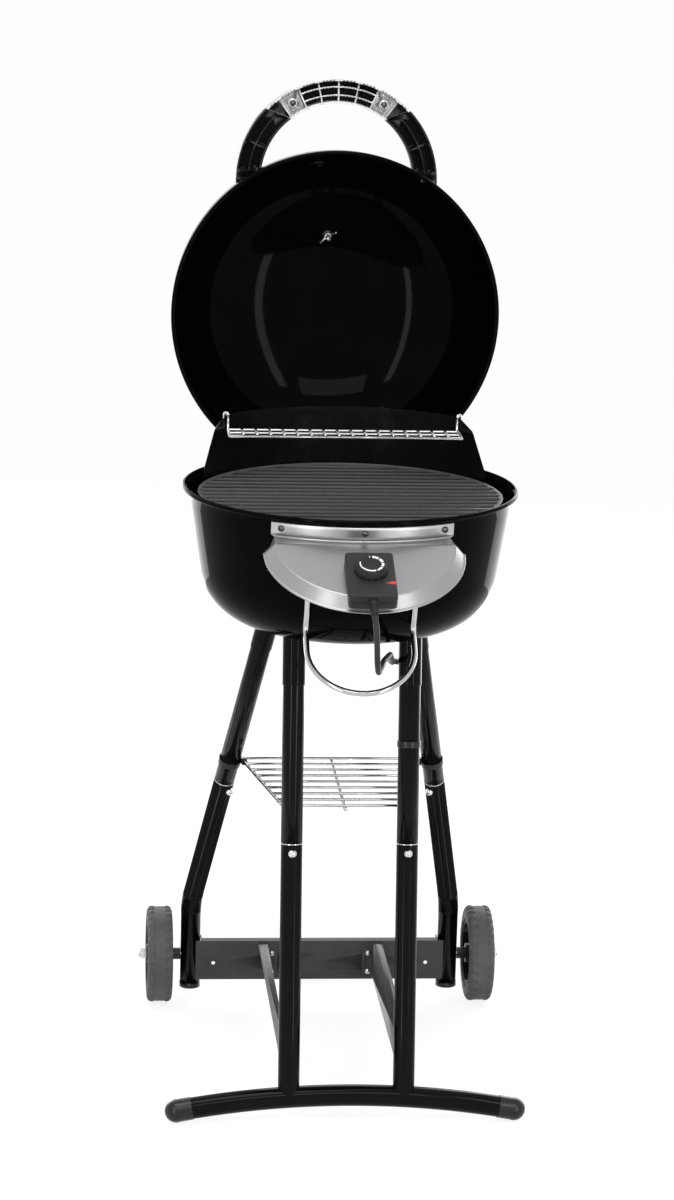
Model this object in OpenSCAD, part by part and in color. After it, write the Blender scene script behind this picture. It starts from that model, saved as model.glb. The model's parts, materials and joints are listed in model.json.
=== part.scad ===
// Free-standing electric grill: a kettle bowl with a hinged domed lid, carried by four
// tube legs on a front foot and two wheels. Millimetres, Z up, floor at Z = 0, front at -Y.
// Helper places are worked out from the bowl's centre line; in_frame() then moves each
// piece so that the origin lies under the middle of the whole grill.

/* [Placement] */
// Distance of the origin behind the bowl's centre line
origin_back = 54; // [50:1:58]

/* [Bowl] */
// Outer diameter of the rolled rim
rim_d = 420; // [400:2:440]
// Height of the rim above the floor
rim_z = 775; // [740:5:830]
// Depth from the rim to the flat bottom
bowl_depth = 190; // [180:2:200]
// Lean of the wall from upright, degrees
wall_lean = 8.8; // [7:0.2:10]
// Radius between the wall and the bottom
corner_r = 85; // [78:1:92]
// Thickness of the bowl's sheet
bowl_sheet = 1.6; // [1.2:0.1:2]
// Diameter of the rolled edges of bowl and lid
bead_d = 6; // [5:0.5:7]

/* [Lid] */
// Height of the dome above its rolled edge
dome_h = 165; // [155:5:185]
// Squareness of the dome's section, where 2 is an ellipse
dome_power = 2.6; // [2.4:0.1:3]
// Thickness of the lid's sheet
lid_sheet = 1.2; // [0.8:0.1:1.6]
// Angle that the lid swings from closed to open, degrees
open_angle = 91.7; // [80:0.1:95]
// Distance by which the lid's rolled edge lies outside the bowl's
nest_out = 5.8; // [5:0.1:6]

/* [Hinge] */
// Distance of the hinge pin behind the rim
hinge_back = 10; // [9:1:14]
// Depth of the hinge pin below the rim
hinge_drop = 50; // [46:1:56]
// Diameter of the hinge pin
pin_d = 6; // [5:0.5:7]
// Width over the two hinge ears
hinge_w = 104; // [90:1:120]
// Thickness of the hinge's plates
hinge_sheet = 3; // [2:0.5:4]

/* [Handle] */
// Radius of the handle's outer edge
handle_r = 132; // [126:1:138]
// Width of the handle's band
handle_band = 32; // [28:1:36]
// Depth of the handle's channel
handle_deep = 20; // [16:1:24]
// Height of the channel's open side above the lid's edge
handle_up = 34; // [30:1:40]
// Distance of the arch's centre in front of the lid's
handle_reach = 174; // [168:1:180]
// Wall of the handle's mouldings
handle_wall = 3; // [2:0.5:4]
// Thickness of the ribs inside the handle
handle_rib = 2; // [1.5:0.5:3]
// Half angle of the silver grip at its outer edge, degrees
grip_outer = 46; // [42:1:50]
// Half angle of the silver grip at its inner edge, degrees
grip_inner = 38; // [34:1:41]

/* [Thermometer] */
// Distance of the thermometer from the dome's centre
gauge_out = 90; // [80:1:100]
// Diameter of the thermometer's case
gauge_d = 52; // [44:1:60]
// Depth of the thermometer's case
gauge_deep = 12; // [10:1:16]
// Diameter of the thermometer's stem
stem_d = 6; // [5:0.5:8]

/* [Cooking] */
// Gap between the grill plate's edge and the bowl's wall
plate_gap = 9.8; // [8:0.2:14]
// Depth of the plate's underside below the rim
plate_drop = 17; // [15:0.5:19]
// Thickness of the plate under its ribs
plate_t = 3; // [2:0.5:4]
// Height of the plate's ribs
rib_h = 4; // [3:0.5:5]
// Distance between the plate's ribs
rib_pitch = 21; // [16:1:26]
// Diameter of the heating element's tube
element_d = 8; // [6.5:0.5:9]
// Radius of the element's ring
element_r = 130; // [120:1:140]
// Depth of the element's carrier bars below the rim
bar_drop = 44; // [40:1:48]
// Depth of the reflector's rim below the rim
reflector_drop = 60; // [57:1:63]
// Height of the wind guard above the rim
guard_up = 63; // [56:1:66]
// Thickness of the wind guard
guard_sheet = 1; // [0.8:0.1:1.5]
// Height of the warming rack above the rim
rack_up = 45; // [38:1:50]
// Half width of the warming rack
rack_half = 147; // [138:1:150]
// Diameter of the warming rack's frame wire
rack_wire = 4; // [3.5:0.5:4.5]

/* [Tray] */
// Slope of the tray, degrees down towards the front
tray_slope = 24; // [20:1:28]
// Depth of the tray's back edge below the rim
tray_drop = 28; // [26:1:31]
// Half width of the tray's flat top
tray_half = 106; // [98:1:112]
// Reach of the tray's flat top
tray_reach = 101; // [96:1:106]
// Width of the turned-down border
border_w = 15.5; // [12:0.5:18]
// Drop of the turned-down border
border_drop = 13.7; // [10:0.1:16]
// Thickness of the tray's sheet
tray_sheet = 1.2; // [0.8:0.1:1.6]

/* [Controller] */
// Width of the controller
box_w = 57; // [52:1:64]
// Length of the controller down the slope
box_l = 85; // [80:1:90]
// Height of the controller's two shells
box_h = 18.5; // [16:0.5:22]
// Height of the joint between base and cover
box_split = 8; // [6:0.5:10]
// Wall of the controller's shells
box_wall = 2; // [1.5:0.1:2.5]
// Diameter of the control dial
dial_d = 37; // [32:1:40]
// Height of the control dial
dial_h = 9.5; // [8:0.5:12]
// Diameter of the dial's shaft
shaft_d = 6; // [5:0.5:8]

/* [Stand tubes] */
// Outer diameter of the legs and the foot
leg_d = 27; // [25:0.5:29]
// Wall of the leg tubes
leg_wall = 1.2; // [1:0.1:1.6]
// Distance of each front leg from the centre line
front_leg_x = 72; // [66:1:78]
// Distance of the front legs' tops in front of the bowl's centre
front_top_y = 84; // [78:1:90]
// Distance of the foot in front of the bowl's centre
foot_front = 172; // [160:1:184]
// Distance of each rear leg's top from the centre line
rear_top_x = 94; // [90:1:98]
// Distance of the rear legs' tops behind the bowl's centre
rear_top_y = 66; // [62:1:70]
// Distance of each rear leg's upright end from the centre line
rear_leg_x = 176; // [170:1:182]
// Height of the bend in the rear legs
rear_bend_z = 140; // [134:1:150]
// Height of the joints in the front legs
front_joint_z = 347; // [320:1:356]
// Height of the joints in the rear legs
rear_joint_z = 340; // [330:1:348]
// Length of the spigot in each joint
spigot_l = 35; // [28:1:45]
// Length of the foot over its round caps
foot_l = 452; // [420:2:480]
// Rise of the foot from its ends to its middle
foot_rise = 19.5; // [12:0.5:26]
// Diameter of the foot's caps
cap_d = 29; // [28:0.5:31]

/* [Wheels] */
// Diameter of the wheels
wheel_d = 130; // [120:1:140]
// Width of the wheels
wheel_w = 34; // [28:1:38]
// Distance of the axle behind the bowl's centre
axle_back = 268; // [256:1:280]
// Diameter of the axle
axle_d = 8; // [6:0.5:10]
// Length of the bush between each leg and wheel
bush_l = 11.5; // [8:0.5:14]
// Lugs around each side of a tyre
lug_count = 30; // [20:2:36]
// Spokes in each wheel
spoke_count = 6; // [5:1:8]

/* [Lower frame] */
// Height of the crossbar's lower edge
crossbar_z = 33; // [28:1:38]
// Height of the crossbar
crossbar_h = 55; // [48:1:60]
// Depth of the crossbar's flanges
crossbar_deep = 26; // [22:1:30]
// Thickness of the crossbar and the braces
frame_sheet = 1.5; // [1:0.1:2]
// Height of the braces' lower edge
brace_z = 38; // [35:1:42]
// Height of the braces
brace_h = 47; // [42:1:50]
// Width of the braces' flanges
brace_flange = 12.5; // [10:0.5:16]

/* [Shelf] */
// Height of the shelf
shelf_z = 370; // [362:1:378]
// Distance of the shelf's rear wire behind the bowl's centre
shelf_back = 164; // [160:1:168]
// Diameter of the shelf's side wires
rail_wire = 5; // [4:0.5:6]
// Diameter of the shelf's cross wires
cross_wire = 4; // [3:0.5:5]
// Distance between the shelf's cross wires
cross_pitch = 26.5; // [24:0.5:28]
// Number of the shelf's cross wires
cross_count = 9; // [6:1:9]

/* [Front rail] */
// Diameter of the front rail
rail_d = 7; // [6:0.5:8]
// Distance of each side of the front rail from the centre line
rail_x = 65; // [60:1:70]

/* [Fits] */
// Gap between pieces that rest against a curved face
seat_gap = 0.3; // [0.2:0.05:0.4]
// Gap around what turns or slides in a hole
run_gap = 0.1; // [0.05:0.01:0.2]
// Gap around screws in their holes
screw_gap = 0.25; // [0.15:0.05:0.4]

/* [Hidden] */
$fn = 48;

// Bowl profile: bead, then the leaning wall, the corner and the flat bottom
bead_r = bead_d / 2;
bead_c = rim_d / 2 - bead_r;
bead_z = rim_z - bead_r;
wall_top_r = bead_c - bead_r - 1;
wall_top_z = bead_z - 4;
bowl_z = rim_z - bowl_depth;
corner_z = bowl_z + corner_r;
corner_x = wall_top_r - corner_r * cos(wall_lean)
  - (wall_top_z - corner_z + corner_r * sin(wall_lean)) * tan(wall_lean);

// Lid: its bead nests on the outside of the bowl's bead, a seat_gap away
nest_reach = bead_d + seat_gap;
lid_z = bead_z + sqrt(pow(nest_reach, 2) - pow(nest_out, 2));
lid_c = bead_c + nest_out;
dome_r = lid_c + bead_r - 0.8;
dome_low = 6;
hinge_y = rim_d / 2 + hinge_back;
hinge_z = rim_z - hinge_drop;
pin_l = hinge_w + 6;
ear_out = hinge_w / 2;
ear_in = ear_out - hinge_sheet;
arm_out = ear_in - seat_gap;
arm_in = arm_out - hinge_sheet;
leaf_low = 14;
leaf_high = 48;

// Cooking parts
plate_z = rim_z - plate_drop;
plate_r = wall_r(plate_z, -bowl_sheet) - plate_gap;
bar_z = rim_z - bar_drop;
bar_t = 2;
element_z = bar_z + seat_gap + element_d / 2;
element_leg_x = 20;
elbow_r = 22;
reflector_z = rim_z - reflector_drop;
step_deep = 8;
seat_w = 10;
guard_low = rim_z - 25;
guard_out = wall_r(guard_low, -bowl_sheet) - seat_gap;
guard_in = guard_out - guard_sheet;
rack_z = rim_z + rack_up;
rack_front = 78;
rack_back = 121;
rack_cross = 3;
rack_gaps = 17;

// Tray, in its own slope: u to the left, v down the slope, w out of the sheet
tray_z = rim_z - tray_drop;
tray_y = -(wall_r(tray_z) + 8);
strip_half = 33;
strip_top = rim_z - 9;
outline_steps = 24;
tray_back = -60;
lip_w = 2.5;

// Controller, in the tray's slope
box_v = 40;
box_end = box_v + box_l;
cover_wall = box_wall + 0.8;
dial_v = 76;
dial_w = box_h + 0.4;
lamp_u = -18.5;
lamp_v = 100;
lamp_w = 12;
lamp_l = 7.5;
gland_w = box_split;
gland_l = 24;

// Bends are a hair thicker than the straights, which reach a little into them
knit_l = 0.15;
function knit_d(d) = d > 20 ? 0.5 : 0.1;

// Stand
leg_r = leg_d / 2;
leg_in = leg_r - leg_wall;
socket_d = leg_d + 7;
socket_l = 44;
socket_roof = 14;
foot_y = -foot_front;
cap_r = cap_d / 2;
cap_step = 0.3;
cap_l = 20;
foot_short = 4;
foot_half = foot_l / 2 - cap_r;
foot_radius = (pow(foot_half, 2) + pow(foot_rise, 2)) / (2 * foot_rise);
foot_mid_z = cap_r + foot_rise;
foot_angle = asin(foot_half / foot_radius);
axle_z = wheel_d / 2;
rear_end_z = 26;
bend_r = 70;
front_low = [front_leg_x, foot_y, foot_height(front_leg_x)];
front_high = [front_leg_x, -front_top_y, under_bowl(norm([front_leg_x, front_top_y]))];
rear_high = [rear_top_x, rear_top_y, under_bowl(norm([rear_top_x, rear_top_y]))];
rear_bend = [rear_leg_x, axle_back, rear_bend_z];
rear_low = [rear_leg_x, axle_back, rear_end_z];
front_way = unit(front_high - front_low);
rear_way = unit(rear_high - rear_bend);
front_joint = at_height(front_low, front_high, front_joint_z);
rear_joint = at_height(rear_bend, rear_high, rear_joint_z);
joint_screw = 11;

// Wheels, along X from the centre line
bush_x = rear_leg_x + leg_r + seat_gap;
hub_in_x = bush_x + bush_l + seat_gap;
wheel_x = hub_in_x + wheel_w / 2;
hub_out_x = hub_in_x + wheel_w;
nut_x = hub_out_x + seat_gap;
nut_l = 8;
axle_half = nut_x + nut_l + 2;
tyre_in = wheel_d / 2 - 19;
band_deep = 0.8;

// Lower frame
crossbar_y = axle_back - leg_r - seat_gap - frame_sheet;
crossbar_half = rear_leg_x - leg_r - seat_gap;
brace_x = front_leg_x;

// Shelf, seen from above: rear corner, knee and front end of a side wire
rear_at_shelf = at_height(rear_bend, rear_high, shelf_z);
shelf_corner = [rear_at_shelf[0] - leg_r - rail_wire / 2 - 3 * seat_gap, shelf_back];
shelf_knee = [80, -28];
shelf_front = [66, leg_rear_y(shelf_z) + seat_gap + rail_wire / 2];

// Cord, in the finished frame: its corners are chosen by hand, each rounded to cord_bend
cord_d = 7;
cord_sides = 10;
cord_bend = 28;
cord_ring = 21;
gland_v = box_end + gland_l;
gland_end = [0, tray_y - gland_v * cos(tray_slope) - gland_w * sin(tray_slope) - origin_back,
  tray_z - gland_v * sin(tray_slope) + gland_w * cos(tray_slope)];
cord_route = [
  gland_end,
  [0, -430, 681],
  [2, -430, 630],
  [20, -324, 620],
  [36, -244, 607],
  [46, -179, 580],
  [47, -132, 571],
  [79, -104, 556],
  [80, -116, 500],
  [91, -116, 3.5],
  [123, 296, 3.5],
  [126, 340, 5]
];
coil_centre = [84, 343];
coil_r = 42;
coil_low = 5;
coil_pitch = 7.1;
coil_start = -4;
coil_sweep = 864;
coil_end = coil_start + coil_sweep;
coil_high = coil_low + coil_pitch * coil_sweep / 360;
tail_start = [coil_centre[0] + coil_r * cos(coil_end), coil_centre[1] + coil_r * sin(coil_end),
  coil_high];
tail_way = [-sin(coil_end), cos(coil_end), 0];
tail_l = 30;
plug_r = 18;
plug_start = [tail_start[0], tail_start[1], plug_r] + tail_l * tail_way;
clip_z = bowl_z - 115;

// ---------------------------------------------------------------- points and frames

// Moves a piece from the bowl's centre line to the finished frame
module in_frame() {
  translate([0, -origin_back, 0]) children();
}

// Draws a piece and its mirror image on the other side of the centre line
module both_sides() {
  children();
  mirror([1, 0, 0]) children();
}

// Turns the closed lid's pieces back about the hinge pin
module lid_open() {
  translate([0, hinge_y, hinge_z]) rotate([-open_angle, 0, 0])
    translate([0, -hinge_y, lid_z - hinge_z]) children();
}

// Places a piece in the tray's slope: X to the left, Y down the slope, Z out of the sheet
module on_tray() {
  translate([0, tray_y, tray_z]) rotate([tray_slope, 0, 0]) rotate([0, 0, 180]) children();
}

function unit(v) = v / norm(v);
function at_height(a, b, z) = a + (b - a) * (z - a[2]) / (b[2] - a[2]);
// Direction square to a way, nearest to a wished one
function square_to(way, wish) = unit(wish - way * (wish * way));

// Rigid frame with its Z along a way, standing at a point
module facing(at, way) {
  across = abs(way[1]) < 0.9 ? [0, 1, 0] : [1, 0, 0];
  ex = unit(cross(across, way));
  ey = cross(way, ex);
  multmatrix([
    [ex[0], ey[0], way[0], at[0]],
    [ex[1], ey[1], way[1], at[1]],
    [ex[2], ey[2], way[2], at[2]],
    [0, 0, 0, 1]
  ]) children();
}

// ---------------------------------------------------------------- rods and tubes

module rod(a, b, d) {
  facing(a, unit(b - a)) cylinder(d = d, h = norm(b - a));
}

module pipe(a, b, d, wall) {
  difference() {
    rod(a, b, d);
    rod(a - unit(b - a), b + unit(b - a), d - 2 * wall);
  }
}

function turn(p, i) = acos(unit(p[i] - p[i - 1]) * unit(p[i + 1] - p[i]));
function trim(p, i, r) = i == 0 || i == len(p) - 1 ? 0 : r * tan(turn(p, i) / 2);
// End of straight i of a bent rod, reaching a little into the bend there
function straight_end(p, i, j, r) = let (cut = trim(p, j, r))
  p[j] + unit(p[i] - p[j]) * (cut == 0 ? 0 : cut - knit_l);

// One bend between the straights a-b and b-c: its children are turned round it
module elbow(a, b, c, r) {
  u = unit(b - a);
  v = unit(c - b);
  n = unit(cross(u, v));
  phi = acos(u * v);
  centre = b + unit(v - u) * r / cos(phi / 2);
  e1 = unit(b - u * r * tan(phi / 2) - centre);
  e2 = cross(n, e1);
  multmatrix([
    [e1[0], e2[0], n[0], centre[0]],
    [e1[1], e2[1], n[1], centre[1]],
    [e1[2], e2[2], n[2], centre[2]],
    [0, 0, 0, 1]
  ]) rotate_extrude(angle = phi) translate([r, 0]) children();
}

// Round rod through the points p, bent to radius r at each inner one
module bent_rod(p, d, r) {
  last = len(p) - 1;
  for (i = [0:last - 1]) {
    rod(straight_end(p, i + 1, i, r), straight_end(p, i, i + 1, r), d);
  }
  for (i = [1:1:last - 1]) {
    elbow(p[i - 1], p[i], p[i + 1], r) circle(d = d + knit_d(d));
  }
}

module ring_plan(d, wall) {
  difference() {
    circle(d = d);
    circle(d = d - 2 * wall);
  }
}

// Round tube through the points p, bent to radius r at each inner one
module bent_pipe(p, d, wall, r) {
  last = len(p) - 1;
  for (i = [0:last - 1]) {
    a = straight_end(p, i + 1, i, r);
    b = straight_end(p, i, i + 1, r);
    facing(a, unit(b - a)) linear_extrude(norm(b - a)) ring_plan(d, wall);
  }
  for (i = [1:1:last - 1]) {
    elbow(p[i - 1], p[i], p[i + 1], r) ring_plan(d + knit_d(d), wall + knit_d(d));
  }
}

// ---------------------------------------------------------------- flat outlines

function arc(c, r, a0, a1, n) =
  [for (i = [0:n]) c + r * [cos(a0 + (a1 - a0) * i / n), sin(a0 + (a1 - a0) * i / n)]];
function left_of(a, b) = [a[1] - b[1], b[0] - a[0]] / norm(b - a);
function mitre(p, i) = i == 0 ? left_of(p[0], p[1])
  : i == len(p) - 1 ? left_of(p[i - 1], p[i])
  : let (m = left_of(p[i - 1], p[i]) + left_of(p[i], p[i + 1])) m * 2 / (m * m);
// Outline of a sheet t thick, laid to the left of the path p
function sheet_outline(p, t) = concat(p,
  [for (i = [len(p) - 1:-1:0]) let (q = p[i] + t * mitre(p, i)) [max(0, q[0]), q[1]]]);
// Rectangle w by l round its centre, with corners rounded to r
function round_box(w, l, r) = concat(
  arc([w / 2 - r, l / 2 - r], r, 0, 90, 6), arc([r - w / 2, l / 2 - r], r, 90, 180, 6),
  arc([r - w / 2, r - l / 2], r, 180, 270, 6), arc([w / 2 - r, r - l / 2], r, 270, 360, 6));

// ---------------------------------------------------------------- the bowl's surface

// Radius of the wall at height z, off millimetres outside its outer face
function wall_r(z, off = 0) =
  z > corner_z - (corner_r + off) * sin(wall_lean)
    ? wall_top_r + off / cos(wall_lean) - (wall_top_z - z) * tan(wall_lean)
    : corner_x + sqrt(pow(corner_r + off, 2) - pow(corner_z - z, 2));
// Height of the bowl's outer face under radius r
function under_bowl(r, off = 0) = r < corner_x ? bowl_z - off
  : corner_z - sqrt(pow(corner_r + off, 2) - pow(r - corner_x, 2));
// Profile of the bowl's face from the axis up the wall to height z
function bowl_face(off, z) = concat(
  [[0, bowl_z - off]],
  arc([corner_x, corner_z], corner_r + off, -90, -wall_lean, 12),
  [[wall_r(z, off), z]]);
function reversed(p) = [for (i = [len(p) - 1:-1:0]) p[i]];

// Solid of the bowl's outer shape, grown by off, to cut what seats against it
module bowl_form(off) {
  top = rim_z - 4;
  rotate_extrude() polygon(concat(bowl_face(off, top), [[0, top]]));
}

// ---------------------------------------------------------------- the lid's surface

// Radius of the dome's outer face at height h over the lid's edge
function dome_at(h) = h <= dome_low ? dome_r
  : dome_r * pow(1 - pow((h - dome_low) / (dome_h - dome_low), dome_power), 1 / dome_power);
// Height of the dome's outer face at radius r
function dome_over(r) = dome_low
  + (dome_h - dome_low) * pow(1 - pow(r / dome_r, dome_power), 1 / dome_power);
// Tilt from level of the dome's outer face at radius r and height h
function dome_tilt(r, h) = atan2(
  pow(r / dome_r, dome_power - 1) / dome_r,
  pow((h - dome_low) / (dome_h - dome_low), dome_power - 1) / (dome_h - dome_low));
// Points up the dome, closer together where it curves most
function dome_face(n) = concat(
  [[dome_r, 0]],
  [for (i = [0:n]) let (a = 90 * i / n)
    [dome_r * pow(cos(a), 2 / dome_power),
     dome_low + (dome_h - dome_low) * pow(sin(a), 2 / dome_power)]]);

// Solid of the lid's outer shape, to cut what seats against it
module lid_form(off) {
  face = dome_face(20);
  grown = [for (i = [0:len(face) - 2]) face[i] - off * mitre(face, i)];
  rotate_extrude() polygon(concat([[0, 0]], grown, [[0, dome_h + off]]));
}

// ---------------------------------------------------------------- screws

// Domed screw head with its shank below, standing on the XY plane
module screw(d, l) {
  rotate_extrude() polygon(concat(
    [[0, -l], [d / 2, -l], [d / 2, 0], [d, 0]],
    arc([0, 0], d, 20, 90, 5)));
}

module screw_hole(d, l) {
  translate([0, 0, -l]) cylinder(d = d + 2 * screw_gap, h = 2 * l);
}

// Places a screw square to the bowl's wall, at angle a from the front and height z, off out of it
module on_wall(a, z, off) {
  r = wall_r(z);
  way = [sin(a) * cos(wall_lean), -cos(a) * cos(wall_lean), -sin(wall_lean)];
  facing([r * sin(a), -r * cos(a), z] + off * way, way) children();
}

// ================================================================ bowl and cooking parts

guard_screw_angles = [125, 150, 210, 235];
guard_screw_z = rim_z - 15;
bracket_screw_angles = [171, 189];
bracket_low = hinge_z - 28;
bracket_high = hinge_z + 22;

module bowl() {
  in_frame() color("#101012") difference() {
    rotate_extrude() {
      polygon(concat(
        bowl_face(0, bead_z - bowl_sheet / 2),
        [[bead_c, bead_z - bowl_sheet / 2], [bead_c, bead_z + bowl_sheet / 2]],
        reversed(bowl_face(-bowl_sheet, bead_z + bowl_sheet / 2))));
      translate([bead_c, bead_z]) circle(r = bead_r);
    }
    for (a = guard_screw_angles) {
      on_wall(a, guard_screw_z, 0) screw_hole(4, 6);
    }
    for (a = bracket_screw_angles) {
      on_wall(a, hinge_z - 15, 0) screw_hole(5, 8);
    }
    for (a = tray_screw_angles) {
      on_wall(a, tray_screw_z, 0) screw_hole(4, 6);
    }
    both_sides() socket_bolt(front_high) screw_hole(6, 14);
    both_sides() socket_bolt(rear_high) screw_hole(6, 14);
    both_sides() rail_end() cylinder(d = rail_d + 2 * seat_gap, h = 40, center = true);
    both_sides() translate([element_leg_x, -wall_r(element_z), element_z]) rotate([90, 0, 0])
      cylinder(d = element_d + 2 * seat_gap, h = 30, center = true);
  }
}

// Curved sheet inside the back of the rim that keeps wind off the plate
module wind_guard() {
  high = rim_z + guard_up;
  in_frame() color("#141416") difference() {
    intersection() {
      translate([0, 0, guard_low]) difference() {
        cylinder(r = guard_out, h = high - guard_low, $fn = 96);
        translate([0, 0, -1]) cylinder(r = guard_in, h = high - guard_low + 2, $fn = 96);
      }
      translate([0, guard_out + 10, 0]) rotate([90, 0, 0]) linear_extrude(guard_out - 60)
        polygon(concat(
          [[-guard_out * 0.92, guard_low], [guard_out * 0.92, guard_low]],
          [[guard_out * 0.9, rim_z + 3]],
          arc([guard_out * 0.838 - 12, high - 21], 12, 15, 55, 4),
          arc([guard_out * 0.795 - 14, high - 14], 14, 50, 90, 4),
          arc([14 - guard_out * 0.795, high - 14], 14, 90, 130, 4),
          arc([12 - guard_out * 0.838, high - 21], 12, 125, 165, 4),
          [[-guard_out * 0.9, rim_z + 3]]));
    }
    for (a = guard_screw_angles) {
      on_wall(a, guard_screw_z, 0) screw_hole(4, 12);
    }
  }
}

hook_r = guard_in - seat_gap - rack_wire / 2;
hook_y = sqrt(pow(hook_r, 2) - pow(rack_half, 2));
hook_top = rim_z + guard_up + seat_gap + rack_wire / 2;
hook_over = (guard_out + seat_gap + rack_wire / 2) / hook_r;

// Wire rack that hangs over the wind guard
module warming_rack() {
  step = 2 * rack_half / rack_gaps;
  in_frame() color("silver") {
    both_sides() bent_rod([
      [rack_half, rack_front, rack_z], [rack_half, hook_y, rack_z], [rack_half, hook_y, hook_top],
      [rack_half * hook_over, hook_y * hook_over, hook_top],
      [rack_half * hook_over, hook_y * hook_over, hook_top - 11]], rack_wire, 2.6);
    for (y = [rack_front, (rack_front + rack_back) / 2, rack_back]) {
      rod([-rack_half, y, rack_z], [rack_half, y, rack_z], rack_wire);
    }
    for (i = [1:rack_gaps - 1]) {
      x = i * step - rack_half;
      rod([x, rack_front - 3, rack_z + 2.8], [x, rack_back + 3, rack_z + 2.8], rack_cross);
    }
  }
}

// Ribbed plate; the ribs run from side to side
module grill_plate() {
  r = plate_r;
  n = floor((r - 12) / rib_pitch);
  in_frame() color("#1b1b1d") {
    translate([0, 0, plate_z]) cylinder(r = r, h = plate_t, $fn = 96);
    translate([0, 0, plate_z + plate_t]) difference() {
      cylinder(r = r, h = rib_h, $fn = 96);
      translate([0, 0, -1]) cylinder(r = r - 5, h = rib_h + 2, $fn = 96);
    }
    for (i = [-n:n]) {
      half = sqrt(pow(r - 2.5, 2) - pow(abs(i * rib_pitch) + 4, 2));
      translate([-half, i * rib_pitch, plate_z + plate_t]) rotate([90, 0, 90])
        linear_extrude(2 * half)
          polygon([[-4, 0], [4, 0], [2.2, rib_h], [-2.2, rib_h]]);
    }
  }
}

// Four stepped brackets inside the wall, for the plate, the element's bars and the reflector;
// their outer corners stand clear of the wind guard
module plate_brackets() {
  step_plate = plate_r - step_deep;
  step_bar = step_plate - step_deep;
  step_dish = step_bar - seat_w;
  low = reflector_z - 10;
  gap = seat_gap + 0.15;
  under = guard_low - seat_gap;
  beside = guard_in - 2 * seat_gap;
  in_frame() color("gray") for (a = [45, 135, 225, 315]) {
    rotate([0, 0, a]) translate([0, 7, 0]) rotate([90, 0, 0]) linear_extrude(14) polygon([
      [step_dish, low], [wall_r(low, -bowl_sheet) - gap, low],
      [wall_r(under, -bowl_sheet) - gap, under], [beside, under],
      [beside, plate_z], [step_plate, plate_z],
      [step_plate, bar_z - bar_t], [step_bar, bar_z - bar_t],
      [step_bar, reflector_z], [step_dish, reflector_z]]);
  }
}

// Two crossed flat bars that carry the element
module element_bars() {
  half = plate_r - step_deep - seat_gap;
  in_frame() color("gray") translate([0, 0, bar_z - bar_t]) {
    rotate([0, 0, 45]) translate([-half, -6, 0]) cube([2 * half, 12, bar_t]);
    rotate([0, 0, -45]) translate([-half, -6, 0]) cube([2 * half, 12, bar_t]);
  }
}

// Ring element whose two legs leave through the front wall
module heating_element() {
  mouth = asin((element_leg_x + elbow_r) / (element_r + elbow_r));
  turn_y = -(element_r + elbow_r) * cos(mouth);
  knit_a = 0.3;
  in_frame() color("dimgray") translate([0, 0, element_z]) {
    rotate([0, 0, mouth - 90 - knit_a]) rotate_extrude(angle = 360 - 2 * mouth + 2 * knit_a)
      translate([element_r, 0]) circle(d = element_d);
    both_sides() {
      translate([element_leg_x + elbow_r, turn_y, 0]) rotate([0, 0, 90 + mouth])
        rotate_extrude(angle = 90 - mouth) translate([elbow_r, 0]) circle(d = element_d + knit_d(element_d));
      rod([element_leg_x, turn_y + knit_l, 0], [element_leg_x, terminal_y - 4, 0], element_d);
    }
  }
}

// Shallow dish that throws heat up and catches drips
module reflector() {
  r = plate_r - 2 * step_deep - 1;
  path = concat([[0, bowl_z + 34], [r * 0.5, bowl_z + 34]],
    arc([r * 0.5, bowl_z + 94], 60, -84, -42, 6),
    [[r - seat_w - 1, reflector_z], [r, reflector_z]]);
  in_frame() color("silver") rotate_extrude() polygon(sheet_outline(path, 0.8));
}

terminal_y = -(wall_r(element_z) + 2);

// Ceramic block on the ends of the element, outside the wall
module terminal_block() {
  in_frame() color("ivory") difference() {
    translate([-32, terminal_y - 12, element_z - 7]) cube([64, 12, 14]);
    both_sides() translate([element_leg_x, terminal_y - 4.3, element_z]) rotate([-90, 0, 0])
      cylinder(d = element_d + 2 * run_gap, h = 12);
  }
}

// Channel under the tray that covers the leads from the terminal block to the controller
module lead_cover() {
  in_frame() color("#18181a") on_tray() difference() {
    translate([-18, 12, -13 - tray_sheet]) cube([36, 46, 13]);
    translate([-16, 10, -11 - tray_sheet]) cube([32, 46, 11 + 1]);
    translate([-40, -30, -60]) cube([80, 42.5, 70]);
  }
}

// ================================================================ front tray

tray_screw_angles = [-29, 0, 29];
tray_screw_z = rim_z - 16;

// Points round the tray's flat top or its border, from the left back to the right back
function tray_edge(half, reach) = concat(
  [[-half, tray_back]],
  [for (i = [0:outline_steps]) let (a = 180 - 180 * i / outline_steps)
    [half * cos(a), reach * sin(a)]],
  [[half, tray_back]]);
function lifted(p, w) = [for (q = p) [q[0], q[1], w]];

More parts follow.
